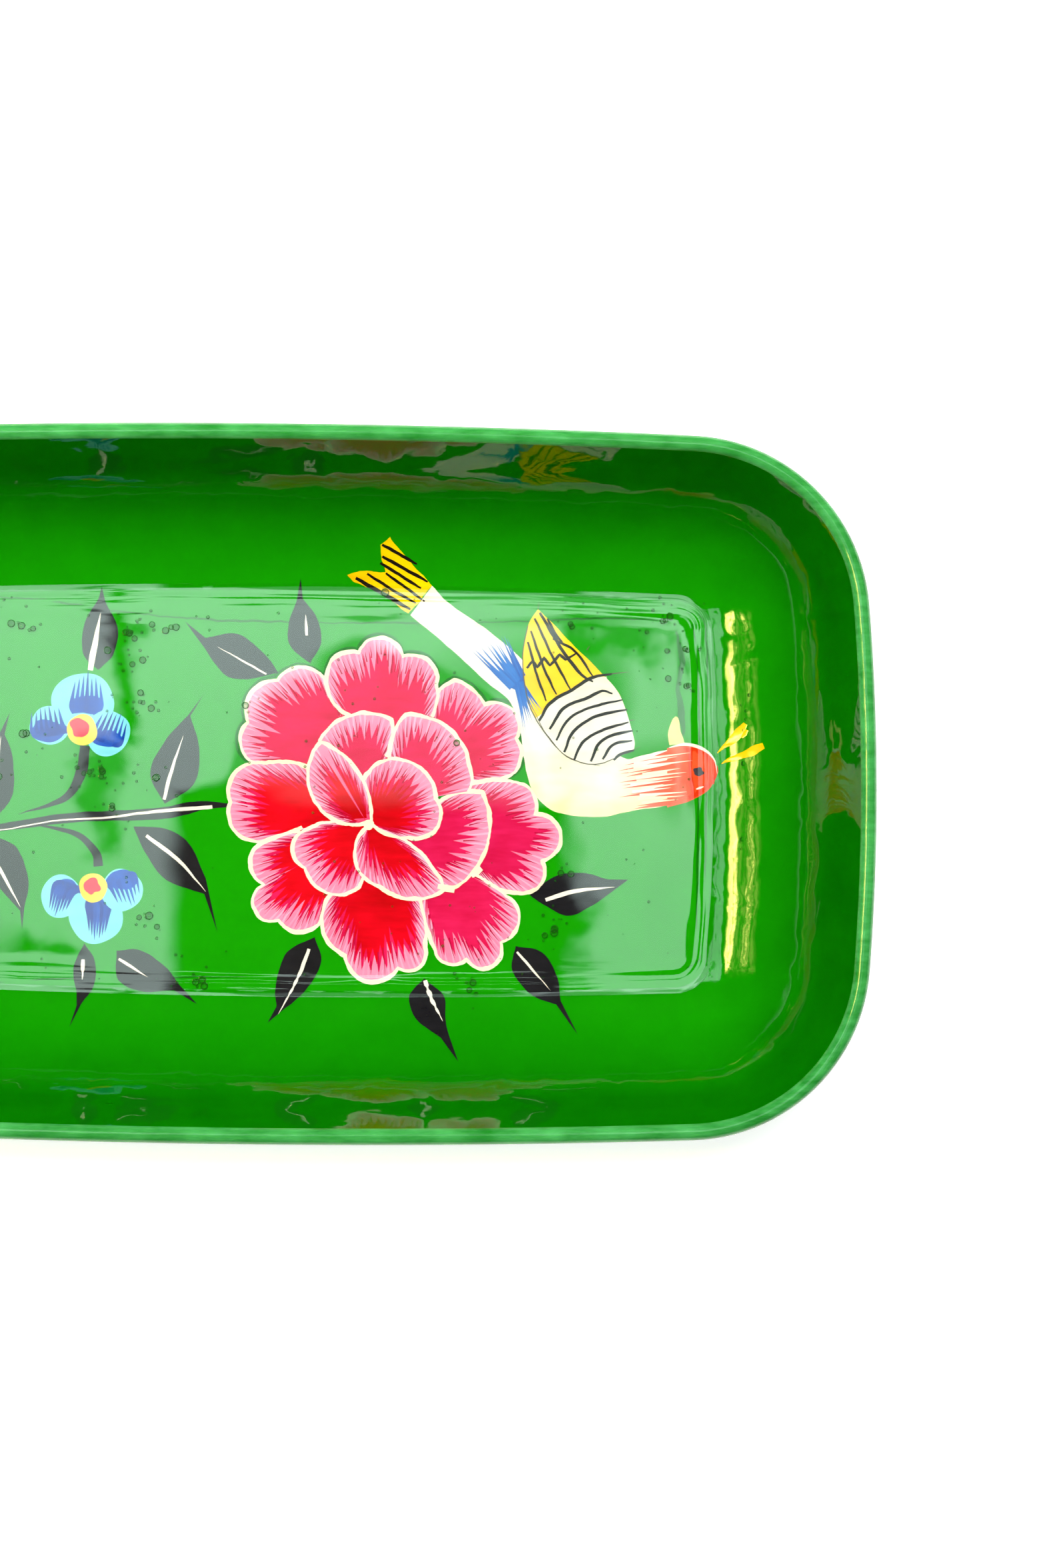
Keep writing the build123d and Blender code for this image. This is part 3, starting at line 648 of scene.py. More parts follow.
def addPatch(sheetOf, loop, lift, spacing=2.4, loadAt=None):
    points = [Vector(p) for p in loop]
    left, right = min(p[0] for p in loop), max(p[0] for p in loop)
    low, high = min(p[1] for p in loop), max(p[1] for p in loop)
    x = left + spacing / 2
    while x < right:
        y = low + spacing / 2
        while y < high:
            if insideLoop(x, y, loop):
                points.append(Vector((x, y)))
            y += spacing
        x += spacing
    cut = delaunay_2d_cdt(points, [], [list(range(len(loop)))], 1, 1e-4)
    start = len(sheetOf["verts"])
    for p in cut[0]:
        sheetOf["verts"].append((p.x, p.y, faceHeight(p.x, p.y, lift)))
        sheetOf["loads"].append(loadAt(p.x, p.y) if loadAt else 0.3)
    for face in cut[2]:
        a, b, c = (cut[0][i] for i in face[:3])
        area = (b.x - a.x) * (c.y - a.y) - (c.x - a.x) * (b.y - a.y)
        ordered = face if area > 0 else reversed(face)
        sheetOf["faces"].append(tuple(start + i for i in ordered))


def addStroke(sheetOf, path, widths, lift, load=0.3, crown=0.015):
    start = len(sheetOf["verts"])
    last = len(path) - 1
    for i, (x, y) in enumerate(path):
        t = i / last * (len(widths) - 1)
        k = min(int(t), len(widths) - 2)
        half = (widths[k] + (widths[k + 1] - widths[k]) * (t - k)) / 2
        nx, ny = (part * half for part in normalAt(path, i))
        for side, up in ((1, 0.0), (0, crown), (-1, 0.0)):
            px, py = x + nx * side, y + ny * side
            sheetOf["verts"].append((px, py, faceHeight(px, py, lift + up)))
            sheetOf["loads"].append(load)
    for i in range(last):
        for k in (0, 1):
            a = start + i * 3 + k
            sheetOf["faces"].append((a, a + 1, a + 4, a + 3))


def finishSheet(name, sheetOf, material, replaces=()):
    addPiece(name, sheetOf["verts"], sheetOf["faces"], [material], replaces, loads=sheetOf["loads"])


def finishSheets(rows):  # each row: sheet, piece, paint and its look, slot, then the nodes it replaces
    for sheetOf, name, paint, look, slot, *replaced in rows:
        finishSheet(name, sheetOf, paintMaterial(paint, look), replaced)


# rose: arcs round each petal's visible edge, then the point its brush strokes fan out from
rosePetals = [
    ([(2.6, 20.4), (0, 25.5), (-4, 30), (-9.8, 33), (-16.5, 29.5), (-22.5, 27), (-24.3, 18),
      (-26.3, 12.5), (-23.5, 7.5), (-15, 5.5), (-7.5, 6)], (3, 8), 0.35),
    ([(25.2, 21), (26.5, 26.5), (31, 30), (36, 27.5), (39.3, 23.3), (46.5, 22.5), (47.8, 14.5),
      (49, 8.5), (45.5, 4), (40.5, 2.5), (35.5, 2.5)], (26, 6), 0.3),
    ([(-7, 5.5), (-14, 7.5), (-20, 7), (-27.5, 4.5), (-28.6, -3.5), (-28, -10.5), (-21.5, -14),
      (-15, -12.5), (-9.5, -10)], (1, -8.5), 0.85),
    ([(36, 2), (43.5, 3.2), (49.5, 2), (53, -1.5), (53, -6), (60, -11.5), (55, -18.5),
      (54.5, -25), (48.5, -27.2), (42.5, -26), (37, -22.5)], (29, -10), 0.5),
    ([(-10, -11), (-16, -12.5), (-20.5, -14.5), (-23.2, -19.5), (-19.5, -25.5), (-22.3, -31.5),
      (-15.5, -35), (-8.5, -38), (-3.8, -34.5), (-2.5, -31), (-1.5, -27)], (1, -14), 1.0),
    ([(21.8, -27.5), (23.8, -36), (26.5, -43), (30.5, -46.5), (34.8, -45), (41, -47.3),
      (44, -40.5), (48.8, -35), (45.5, -28), (41.5, -25), (37, -22.5)], (24, -17), 0.45),
    ([(3, 20), (-3.2, 27.5), (-2, 35), (1, 37), (5.2, 37), (11, 41.3), (17, 36), (23, 35.8),
      (26.3, 29), (26.5, 25), (25, 20)], (13, 6), 0.3),
    ([(-1.5, -28), (-4, -35.5), (2.5, -44.3), (9.5, -51.3), (16.5, -47.5), (22.5, -47),
      (23.7, -42), (23.7, -36), (21.5, -27)], (10, -16), 1.0),
    ([(-5, 13), (2, 19.8), (14, 19), (14.5, 14), (13, 9)], (7, 0), 0.4),
    ([(26.5, -3.5), (32, -0.5), (38.8, -0.3), (40.5, -13), (33, -25), (30, -26), (27, -25)],
     (14, -13), 0.4),
    ([(13.8, 9), (14.8, 15.5), (18, 20.5), (29.5, 17), (35.3, 7), (36, 3), (34.8, 0)],
     (18, -3), 0.35),
    ([(8, -9.5), (0, -8.3), (-9, -11), (-12, -16), (-8.5, -21), (-1, -28), (6, -26),
      (8, -18), (8, -9.5)], (8, -9.5), 1.0),
    ([(8.5, -9.5), (4.8, -19), (11.5, -25.8), (19, -29), (29, -26.5), (21.5, -16), (9.5, -9.5)],
     (8.5, -9.5), 0.95),
    ([(9, -8.8), (6.5, 2), (11.5, 7.8), (21, 7), (26.3, -2), (26.5, -10), (19, -12.6),
      (14, -12), (9, -8.8)], (9, -8.8), 0.7),
    ([(-4.8, 13), (-8, 2), (0, -8.5), (4.5, -9.3), (9, -8.5), (6.5, 3), (-4.8, 13)],
     (8, -9), 0.8),
]
roseSetup = {
    "seed": 5, "firstLift": 0.02, "petalStep": 0.03, "layerStep": 0.005, "outline": (0.6, 1.35),
    "toothEvery": 2.1, "toothTip": (1.2, 3.4), "toothRoot": (6.4, 9.8), "hairEvery": 1.9,
}


def inwards(point, root, margin):
    reach = math.dist(point, root)
    share = min(margin, reach * 0.92) / reach if reach else 0
    return tuple(point[k] + (root[k] - point[k]) * share for k in (0, 1))


def makeRose():
    setup = roseSetup
    layer = setup["layerStep"]
    draw = random.Random(setup["seed"])
    pink, blush, red, pale, hairs, cream = (newSheet() for i in range(6))

    def between(start, stop, bendX, bendY):
        middle = ((start[0] + stop[0]) / 2 + bendX, (start[1] + stop[1]) / 2 + bendY)
        return smoothPath([start, middle, stop], 1.2)

    for index, (points, root, depth) in enumerate(rosePetals):
        lift = setup["firstLift"] + index * setup["petalStep"]
        rim = handDrawn(arcChain(points, 0.45), 0.22, index)
        farthest = max(math.dist(p, root) for p in rim)
        loop = rim if points[0] == points[-1] else rim + [root]
        addPatch(pink, loop, lift, loadAt=lambda x, y: 1 - math.dist((x, y), root) / farthest)
        size = min(1.0, farthest / 24)
        # toothed ground from the root outwards, and a deeper one inside it on the darker petals
        grounds = [(blush, 0.0, 1)]
        if depth > 0.5:
            grounds.append((red, (1 - depth) * 6 + 2.2, 2))
        for sheetOf, extra, rise in grounds:
            teeth, travelled = [root], 0.0
            for i in range(1, len(rim) - 1):
                travelled += math.dist(rim[i - 1], rim[i])
                if travelled >= setup["toothEvery"] * draw.uniform(0.35, 0.65):
                    travelled = 0.0
                    span = setup["toothTip"] if len(teeth) % 2 else setup["toothRoot"]
                    margin = (draw.uniform(*span) + extra) * size
                    if math.dist(rim[i], root) > margin + 0.6:
                        teeth.append(inwards(rim[i], root, margin))
            if len(teeth) > 4:
                addPatch(sheetOf, teeth, lift + rise * layer, spacing=3.5,
                         loadAt=lambda x, y: 0.15 + 0.5 * (1 - math.dist((x, y), root) / farthest))
        # single hairs: pale ones from the edge inwards, dark ones from the teeth outwards
        travelled = 0.0
        for i in range(2, len(rim) - 2):
            travelled += math.dist(rim[i - 1], rim[i])
            if travelled < setup["hairEvery"] * draw.uniform(0.5, 1.0):
                continue
            travelled = 0.0
            if math.dist(rim[i], root) < 6 * size:
                continue
            start = inwards(rim[i], root, 0.3)
            stop = inwards(rim[i], root, draw.uniform(2.5, 7.5) * size)
            bend = draw.uniform(-0.35, 0.35)
            addStroke(pale, between(start, stop, bend, -bend), (0.6, 0.42, 0.04), lift + 3 * layer,
                      draw.uniform(0, 0.7), 0.004)
            if draw.random() < 0.75:
                j = min(len(rim) - 1, i + 1)
                start = inwards(rim[j], root, draw.uniform(4.5, 8.5) * size)
                stop = inwards(rim[j], root, draw.uniform(0.7, 2.2))
                addStroke(hairs, between(start, stop, -bend * 0.5, bend * 0.5), (0.34, 0.24, 0.05),
                          lift + 3.5 * layer, draw.uniform(0, 0.6), 0.004)
        widths = [draw.uniform(*setup["outline"]) for i in range(max(4, len(rim) // 5))]
        addStroke(cream, handDrawn(rim, 0.15, index + 30), widths, lift + 4 * layer,
                  draw.uniform(0.0, 0.5), 0.008)
    top = setup["firstLift"] + len(rosePetals) * setup["petalStep"]
    blob = [(8.3 + 1.5 * math.cos(t / 9 * 2 * math.pi) * (1 + 0.15 * math.sin(t * 2.1)),
             -9.3 + 1.4 * math.sin(t / 9 * 2 * math.pi)) for t in range(9)]
    addPatch(cream, smoothPath(blob + [blob[0]], 0.4)[:-1], top, 1.0)
    for side in ([(27, -25.6), (31.5, -26.6)], [(36, -22.8), (38.6, -20.6)]):  # heavy ends of two lines
        addStroke(cream, smoothPath(side), (1.2, 1.9, 1.5), top, 0.1)
    finishSheets((
        (pink, "rosePetalGround", "petal pink", petalPink, "pink_paint", "rose_outer_petals",
         "rose_inner_petals"),
        (blush, "rosePetalBlush", "petal blush", petalBlush, "pink_paint"),
        (red, "rosePetalRed", "petal red", petalRed, "red_paint"),
        (pale, "rosePaleHairs", "pale pink", palePink, "pink_paint"),
        (hairs, "roseDarkHairs", "rose pink", rosePink, "pink_paint"),
        (cream, "roseOutlines", "rose cream", roseCream, "cream_paint", "rose_outlines"),
    ))
    print("rose painted:", len(pink["faces"]) + len(blush["faces"]) + len(pale["faces"]), "faces")


petalPink = {"light": (0.88, 0.27, 0.44), "dark": (0.72, 0.05, 0.15), "amount": 0.4}
petalBlush = {"light": (0.70, 0.012, 0.10), "dark": (0.50, 0.001, 0.034), "amount": 1.2}
petalRed = {"light": (0.74, 0.0005, 0.010), "dark": (0.44, 0.0, 0.002), "amount": 1.3}
palePink = {"light": (0.90, 0.42, 0.60), "dark": (0.80, 0.22, 0.40), "amount": 0.3}
rosePink = {"light": (0.50, 0.003, 0.05), "dark": (0.28, 0.0008, 0.012), "amount": 0.4}
roseCream = {"light": (0.90, 0.84, 0.64), "dark": (0.84, 0.74, 0.44), "amount": 1.0}
makeRose()


# painted shade lines: dark green strokes painted on the enamel under the clear coat, along the pool's edges
# and round the thick paint of the rose's top petals, standing in for the shade and broken reflection where
# the coat rises there
shadeLineSetup = {"lift": 0.008, "roseGap": 1.0, "wobble": 0.35, "petals": (0, 6, 1)}
shadeLinePaths = [
    ([(-96, 51), (-79, 50.2), (-60, 47.6), (-41.6, 45.9), (-20, 45.2), (0.5, 45.2), (25, 45.4), (46, 46),
      (70, 47.2), (90, 47)], (0.2, 0.6, 0.35, 0.7, 0.3, 0.6, 0.3, 0.6, 0.2)),
    ([(91, 44), (92.6, 36), (91.6, 28), (93, 18), (92.2, 14)], (0.4, 1.7, 1.0, 2.0, 0.3)),
    ([(95.4, 46), (96.8, 38), (97.4, 20), (97.0, -10), (96.8, -38)], (0.3, 0.6, 0.4, 0.7, 0.3)),
    ([(93, 49.5), (98.6, 46), (99.6, 20), (99.2, -10), (98.6, -40), (94, -47), (80, -48.6)],
     (0.2, 0.5, 0.3, 0.5, 0.3, 0.4, 0.1)),
    ([(-92, -52), (-60, -50.5), (-24, -50.2)], (0.2, 0.5, 0.3, 0.4, 0.2)),
]
shadeLineGreen = {"light": (0.003, 0.15, 0.002), "dark": (0.001, 0.09, 0.001), "amount": 0.6}


def makeShadeLines():
    setup = shadeLineSetup
    lines = newSheet()
    for index, (path, widths) in enumerate(shadeLinePaths):
        wavy = handDrawn(smoothPath(path), setup["wobble"], index + 400)
        addStroke(lines, wavy, widths, setup["lift"], crown=0.0)
    for index in setup["petals"]:
        points, root = rosePetals[index][:2]
        around = [inwards(p, root, -setup["roseGap"]) for p in arcChain(points)]
        addStroke(lines, handDrawn(around, 0.2, index + 410), (0.1, 0.7, 0.5, 1.0, 0.6, 0.9, 0.5, 0.1),
                  setup["lift"], crown=0.0)
    finishSheet("poolShadeLines", lines, paintMaterial("pool shade line", shadeLineGreen))
    print("shadeLines:", len(shadeLinePaths) + len(setup["petals"]))


makeShadeLines()


# leaves: upper edge, lower edge, both ending in the brush tail, then the vein
leafSetup = {"lift": 0.012, "wobble": 0.14}
leafStrokes = [
    ([(-64.4, 31.6), (-68.5, 36), (-68.3, 44), (-64.5, 51), (-63.8, 54)],
     [(-64.4, 31.6), (-60.4, 36), (-59.4, 43), (-62.8, 50), (-63.8, 54)], [(-66.6, 31.5), (-64, 47)], 1.7),
    ([(-16.3, 31.4), (-20, 36.4), (-27.5, 41.8), (-36, 40.6), (-41.5, 45)],
     [(-16.3, 31.4), (-25, 29.6), (-31, 31), (-37, 39), (-41.5, 45)], [(-19.5, 31), (-32.6, 38.2)], 0.55),
    ([(-7.8, 34), (-13.3, 38.8), (-13.6, 45), (-11.6, 51), (-10.6, 57)],
     [(-7.8, 34), (-4.9, 40), (-6.4, 47), (-10, 51.4), (-10.6, 57)], [(-8.8, 41.6), (-9.2, 47.2)], 0.8),
    ([(-46.2, -4.2), (-50.2, 4), (-46.5, 12.5), (-40.5, 19.5), (-36.2, 25.3)],
     [(-46.2, -4.2), (-38.4, 1.4), (-37.2, 10.5), (-39.6, 19.5), (-36.2, 25.3)],
     [(-46.4, -3), (-44.6, 4.5), (-41.5, 14.2)], 1.0),
    ([(-54.5, -10.3), (-46, -10.8), (-39.5, -14.8), (-35, -24), (-31.7, -38.3)],
     [(-54.5, -10.3), (-51, -17.5), (-45.5, -24.4), (-35.4, -28.2), (-31.7, -38.3)],
     [(-51, -12.7), (-42, -19.5), (-35, -27.5)], 1.1),
    ([(-91, -8.5), (-95, 1), (-92.5, 11), (-90, 15), (-87.7, 20)],
     [(-91, -8.5), (-86.6, -2), (-86.8, 8), (-89, 14), (-87.7, 20)], [(-91.4, -4), (-90, 13.5)], 0.9),
    ([(-93.5, -12.5), (-85.5, -16), (-82, -25), (-83, -32), (-83.5, -38)],
     [(-93.5, -12.5), (-93.6, -20), (-89.5, -27), (-84, -33), (-83.5, -38)],
     [(-91, -19.5), (-84, -32)], 0.9),
    ([(-67, -41.4), (-69.7, -48), (-68.8, -54.5), (-68.6, -58), (-70.3, -63.8)],
     [(-67, -41.4), (-64, -46.5), (-64.2, -52.6), (-67.4, -57.6), (-70.3, -63.8)],
     [(-67.2, -45.8), (-67.4, -51.2)], 1.1),
    ([(-58.5, -43.4), (-52, -43.3), (-45.5, -47.6), (-41, -53), (-36.7, -57.6)],
     [(-58.5, -43.4), (-57.8, -51.2), (-51, -54.3), (-43, -53.8), (-36.7, -57.6)],
     [(-57.8, -45.6), (-50, -50.4)], 0.8),
    ([(-5.8, -39.4), (-13.2, -43.6), (-16, -52), (-15.8, -58), (-18, -62.3)],
     [(-5.8, -39.4), (-4, -46), (-8, -53.6), (-14.5, -59.4), (-18, -62.3)],
     [(-7.3, -42.6), (-10, -50), (-15.2, -60)], 1.0),
    ([(23.6, -50.2), (28.8, -55), (29.4, -62), (30.8, -67), (32.6, -72.2)],
     [(23.6, -50.2), (19.6, -55), (21.5, -61.2), (28, -66), (32.6, -72.2)],
     [(23.8, -50.8), (25.6, -55.8), (28.6, -61.6)], 1.3),
    ([(48, -41.4), (55, -43), (59, -49), (60.2, -56), (64.6, -65)],
     [(48, -41.4), (47.2, -48), (52.5, -54.6), (59, -57), (64.6, -65)], [(48.4, -43), (57.4, -53.2)], 0.7),
    ([(51.6, -27.7), (58.5, -22.6), (66, -21.7), (73, -23.4), (78.3, -23.4)],
     [(51.6, -27.7), (56, -30.6), (62.5, -33.3), (70, -29.6), (78.3, -23.4)],
     [(56, -29), (64, -26.6), (74.6, -25.4)], 1.2),
]
stemStrokes = [
    ([(-96, -11.8), (-84, -10), (-70, -8), (-48, -6.8), (-37, -4.6), (-29.4, -4.4)],
     (1.6, 2.2, 2.6, 2.6, 3.0, 3.3, 1.0)),
    ([(-67.6, 11.2), (-68.6, 4), (-73, -3), (-85, -7.3)], (2.6, 3.0, 2.0, 0.9, 0.1)),
    ([(-63.6, -21), (-64.4, -17.4), (-69.6, -12.4), (-80, -10)], (2.6, 2.0, 1.5, 1.0, 0.3)),
]
leafBlack = {"light": (0.014, 0.013, 0.017), "dark": (0.003, 0.003, 0.004), "amount": 1.0}
veinCream = {"light": (0.90, 0.85, 0.74), "dark": (0.82, 0.74, 0.56), "amount": 0.6}


def makeLeaves():
    black, vein, stem, shine = (newSheet() for i in range(4))
    lift = leafSetup["lift"]
    for index, (upper, lower, middle, width) in enumerate(leafStrokes):
        outer = smoothPath(upper[:-1], 0.5) + [upper[-1]]
        loop = outer + list(reversed(smoothPath(lower[:-1], 0.5)))[:-1]
        addPatch(black, handDrawn(loop, leafSetup["wobble"], index + 50), lift)
        addStroke(vein, handDrawn(smoothPath(middle), 0.1, index + 70),
                  (width * 0.8, width, width * 0.85, width * 0.5, 0.06), lift + 0.012, 0.2)
    for index, (path, widths) in enumerate(stemStrokes):
        addStroke(stem, handDrawn(smoothPath(path), 0.12, index + 90), widths, lift + 0.004)
    gleam = [(-33.5, -4.8), (-50, -6.4), (-62, -8), (-75, -8.9), (-88, -11.3), (-95, -12.2)]
    addStroke(shine, handDrawn(smoothPath(gleam), 0.12, 99), (1.0, 1.0, 0.7, 0.5, 0.4, 0.3, 0.2),
              lift + 0.016)
    inkBlack = paintMaterial("leaf black", leafBlack)
    cream = paintMaterial("vein cream", veinCream)
    finishSheet("leafStrokes", black, inkBlack, ("leaves",))
    finishSheet("leafVeins", vein, cream, ("leaf_veins",))
    finishSheet("stemStrokes", stem, inkBlack, ("stems",))
    finishSheet("stemGleam", shine, cream, ("stem_highlight",))
    print("leaves and stems painted:", len(leafStrokes), "leaves")


makeLeaves()


# two small flowers: disc, then each petal's ellipse, the middle of its blue base and its streaks' heading
flowerSetup = {"seed": 8, "lift": 0.03, "streaks": 7}
flowers = [
    ((-68.5, 15.5), 4.0, [((-68.4, 22.8, 8.4, 7.8), (-67.4, 22.4, 4.3, 2.2), 88, 8.0),
                          ((-77, 16.6, 5.4, 5.2), (-77.4, 15.0, 4.6, 3.0), 100, 6.5),
                          ((-61.6, 14.6, 5.9, 6.2), (-62, 13.2, 4.4, 2.2), 68, 7.5)]),
    ((-64.8, -26.8), 3.7, [((-64, -34.8, 7.2, 6.9), (-63.4, -32.0, 3.0, 2.6), 268, 8.0),
                           ((-73.2, -29, 5.4, 5.8), (-72.4, -26.8, 3.0, 2.4), 252, 7.5),
                           ((-57.2, -27.3, 5.6, 5.7), (-57.4, -24.4, 4.0, 2.6), 292, 7.0)]),
]
petalCyan = {"light": (0.20, 0.62, 0.72), "dark": (0.10, 0.48, 0.66), "amount": 0.8}
petalBlue = {"light": (0.008, 0.085, 0.50), "dark": (0.0008, 0.02, 0.26), "amount": 0.9}
discYellow = {"light": (0.86, 0.70, 0.10), "dark": (0.85, 0.52, 0.01), "amount": 0.9}
heartRed = {"light": (0.74, 0.015, 0.06), "dark": (0.62, 0.015, 0.05), "amount": 0.8}


def roundPatch(x, y, halfWidth, halfHeight, seed, wobble=0.1):
    points = []
    for i in range(26):
        a = 2 * math.pi * i / 26
        grow = 1 + wobble * noise.noise(Vector((math.cos(a), math.sin(a), seed)))
        points.append((x + halfWidth * grow * math.cos(a), y + halfHeight * grow * math.sin(a)))
    return smoothPath(points + [points[0]], 0.5)[:-1]


def makeFlowers():
    draw = random.Random(flowerSetup["seed"])
    cyan, blue, yellow, red = (newSheet() for i in range(4))
    lift, streaks = flowerSetup["lift"], flowerSetup["streaks"]
    for number, (centre, radius, petals) in enumerate(flowers):
        for index, (petal, base, heading, length) in enumerate(petals):
            level = lift + index * 0.012
            addPatch(cyan, roundPatch(*petal, number * 7 + index), level,
                     loadAt=lambda x, y: draw.random() * 0.3)
            addPatch(blue, roundPatch(*base, number * 9 + index + 20, 0.25), level + 0.004)
            turn = math.radians(heading)
            across = (-math.sin(turn), math.cos(turn))
            for i in range(streaks):
                side = (i / (streaks - 1) - 0.5) * 1.9
                start = tuple(base[k] + across[k] * side * base[2] * 0.95 for k in (0, 1))
                root = tuple(start[k] + (centre[k] - start[k]) * 0.35 for k in (0, 1))
                lean = turn + side * -0.10
                reach = length * draw.uniform(0.9, 1.2) * (1 - 0.25 * abs(side))
                stop = (start[0] + reach * math.cos(lean), start[1] + reach * math.sin(lean))
                addStroke(blue, smoothPath([root, start, stop], 0.6), (1.9, 1.9, 1.2, 0.8, 0.5, 0.08),
                          level + 0.006, draw.uniform(0.2, 0.9), 0.006)
        addPatch(yellow, roundPatch(*centre, radius, radius * 1.05, number + 40, 0.12), lift + 0.06, 1.2,
                 loadAt=lambda x, y: 0.5 - 0.12 * (x - centre[0]))
        heart = roundPatch(centre[0] - 0.4, centre[1] + 0.5, radius * 0.6, radius * 0.62, number + 60, 0.5)
        addPatch(red, heart, lift + 0.07, 1.2)
    finishSheets((
        (cyan, "flowerPetals", "petal cyan", petalCyan, "cyan_paint", "flower_petals"),
        (blue, "flowerBlueBases", "petal blue", petalBlue, "blue_paint", "flower_blue_bases"),
        (yellow, "flowerDiscs", "disc yellow", discYellow, "yellow_paint", "flower_discs"),
        (red, "flowerHearts", "heart red", heartRed, "red_paint", "flower_hearts"),
    ))
    print("flowers painted:", len(flowers))


makeFlowers()


# bird
birdSetup = {"seed": 21, "lift": 0.05}
tailEdge = [(24.8, 55.4), (18.5, 47.8), (10.2, 53.9), (3.8, 56.2), (1.8, 58), (5.2, 59.1),
            (12.2, 58.8), (11.2, 62), (10.8, 65.8), (13.3, 67.8), (16, 64.6), (24.8, 55.4)]
backEdge = [(24.8, 55.4), (29.6, 50.6), (39.7, 43.8), (49, 36), (58, 26), (70, 14), (77, 9.4),
            (80.5, 9.8), (85, 11), (89.7, 12.0)]
bellyEdge = [(89, -3.2), (85, -4), (80, -4.7), (70, -6.6), (59.2, -5.5), (54.2, -2.3), (51.7, 1.8),
             (49.8, 9.7), (48.8, 17.2), (46, 24.3), (39.8, 29.5), (29.5, 38.8), (18.5, 47.8)]
wingFront = [(53.5, 49.5), (58.2, 45), (64, 39), (70.8, 32.4), (76, 26), (79.6, 15), (79.7, 11.8)]
wingBack = [(53.5, 49.5), (50.8, 45), (49.4, 36), (51.2, 24), (56.3, 15), (62.2, 9.4), (70, 7.8),
            (79.7, 11.8)]
barEdge = [(52.6, 19.6), (55, 21.5), (57, 24.2), (62.8, 27.7), (68, 31), (72.2, 31.4)]
headTop = [(84, 10.6), (89.7, 12.5), (94, 13.3), (98.5, 12), (101.4, 9.2), (102.2, 5.4)]
headUnder = [(84, 10.6), (82.5, 3), (84, -3.9), (90, -3.5), (96, -1.5), (100, 1.2), (102.2, 5.4)]
tailLines = [
    [(11.2, 65.9), (20.6, 61)], [(11.3, 62.9), (23.6, 56.4)], [(10.8, 61.3), (21.8, 54.7)],
    [(12.3, 58.6), (22.8, 51.2)], [(7.2, 58.3), (20.4, 50.6)], [(4.2, 57.2), (19, 49)],
]
wingLines = [
    [(54, 48.6), (59.8, 39), (65.4, 31.8), (68.5, 30)], [(52.6, 47), (57.6, 36.6), (62.4, 27.8)],
    [(51.6, 43.6), (55, 34), (58.6, 26.4)], [(50.8, 40.6), (53, 32.6), (55.8, 24.6)],
    [(57.5, 41.5), (63.4, 38.4), (68.4, 31.6)], [(50.6, 33.4), (52.2, 35.4), (53.4, 33.8), (55.2, 36.4),
                                                 (56.8, 34.4), (59.4, 37.2), (61, 35.8), (64.6, 38.2)],
    [(56, 47), (58.4, 42.6), (60.2, 40.6)],
]
barLines = [
    [(54, 19.2), (57, 24.2), (62.8, 27.7), (68, 31), (73.6, 32.2)],
    [(56.8, 17), (60.8, 22.9), (67, 25.6), (71, 27.6), (73.8, 26.8)],
    [(58.6, 14), (62.2, 20), (68.6, 23.2), (76.6, 25.2)],
    [(60.8, 10.8), (63.4, 16.6), (69.4, 20.6), (77.8, 22.6)],
    [(63.4, 8.6), (66, 13.8), (71.4, 17), (78.2, 19.1)],
    [(68, 8.4), (70, 13), (74, 15.6), (79.4, 16.8)],
    [(71.2, 9), (74, 13), (79.2, 14.2)],
    [(74.2, 8.8), (76, 10.4), (79.8, 11.6)],
]
birdWhite = {"light": (0.82, 0.79, 0.68), "dark": (0.80, 0.70, 0.28), "amount": 1.1, "scale": 160}
birdYellow = {"light": (0.92, 0.60, 0.0), "dark": (0.84, 0.36, 0.0), "amount": 0.9}
headOrange = {"light": (0.80, 0.11, 0.03), "dark": (0.70, 0.035, 0.004), "amount": 0.9}
headRed = {"light": (0.70, 0.04, 0.004), "dark": (0.58, 0.015, 0.002), "amount": 0.8}
rumpBlue = {"light": (0.012, 0.15, 0.54), "dark": (0.001, 0.05, 0.34), "amount": 0.8}
lineBlack = {"light": (0.010, 0.006, 0.004), "dark": (0.002, 0.0015, 0.0015), "amount": 0.7}
lineGrey = {"light": (0.12, 0.11, 0.07), "dark": (0.05, 0.04, 0.025), "amount": 0.7}
eyeGrey = {"light": (0.06, 0.05, 0.06), "dark": (0.02, 0.018, 0.022), "amount": 0.9}
crestYellow = {"light": (0.84, 0.80, 0.30), "dark": (0.80, 0.68, 0.12), "amount": 0.8}


def densePath(points, step=0.6):
    path = []
    for a, b in zip(points, points[1:]):
        count = max(1, int(math.dist(a, b) / step))
        path += [tuple(a[k] + (b[k] - a[k]) * i / count for k in (0, 1)) for i in range(count)]
    return path


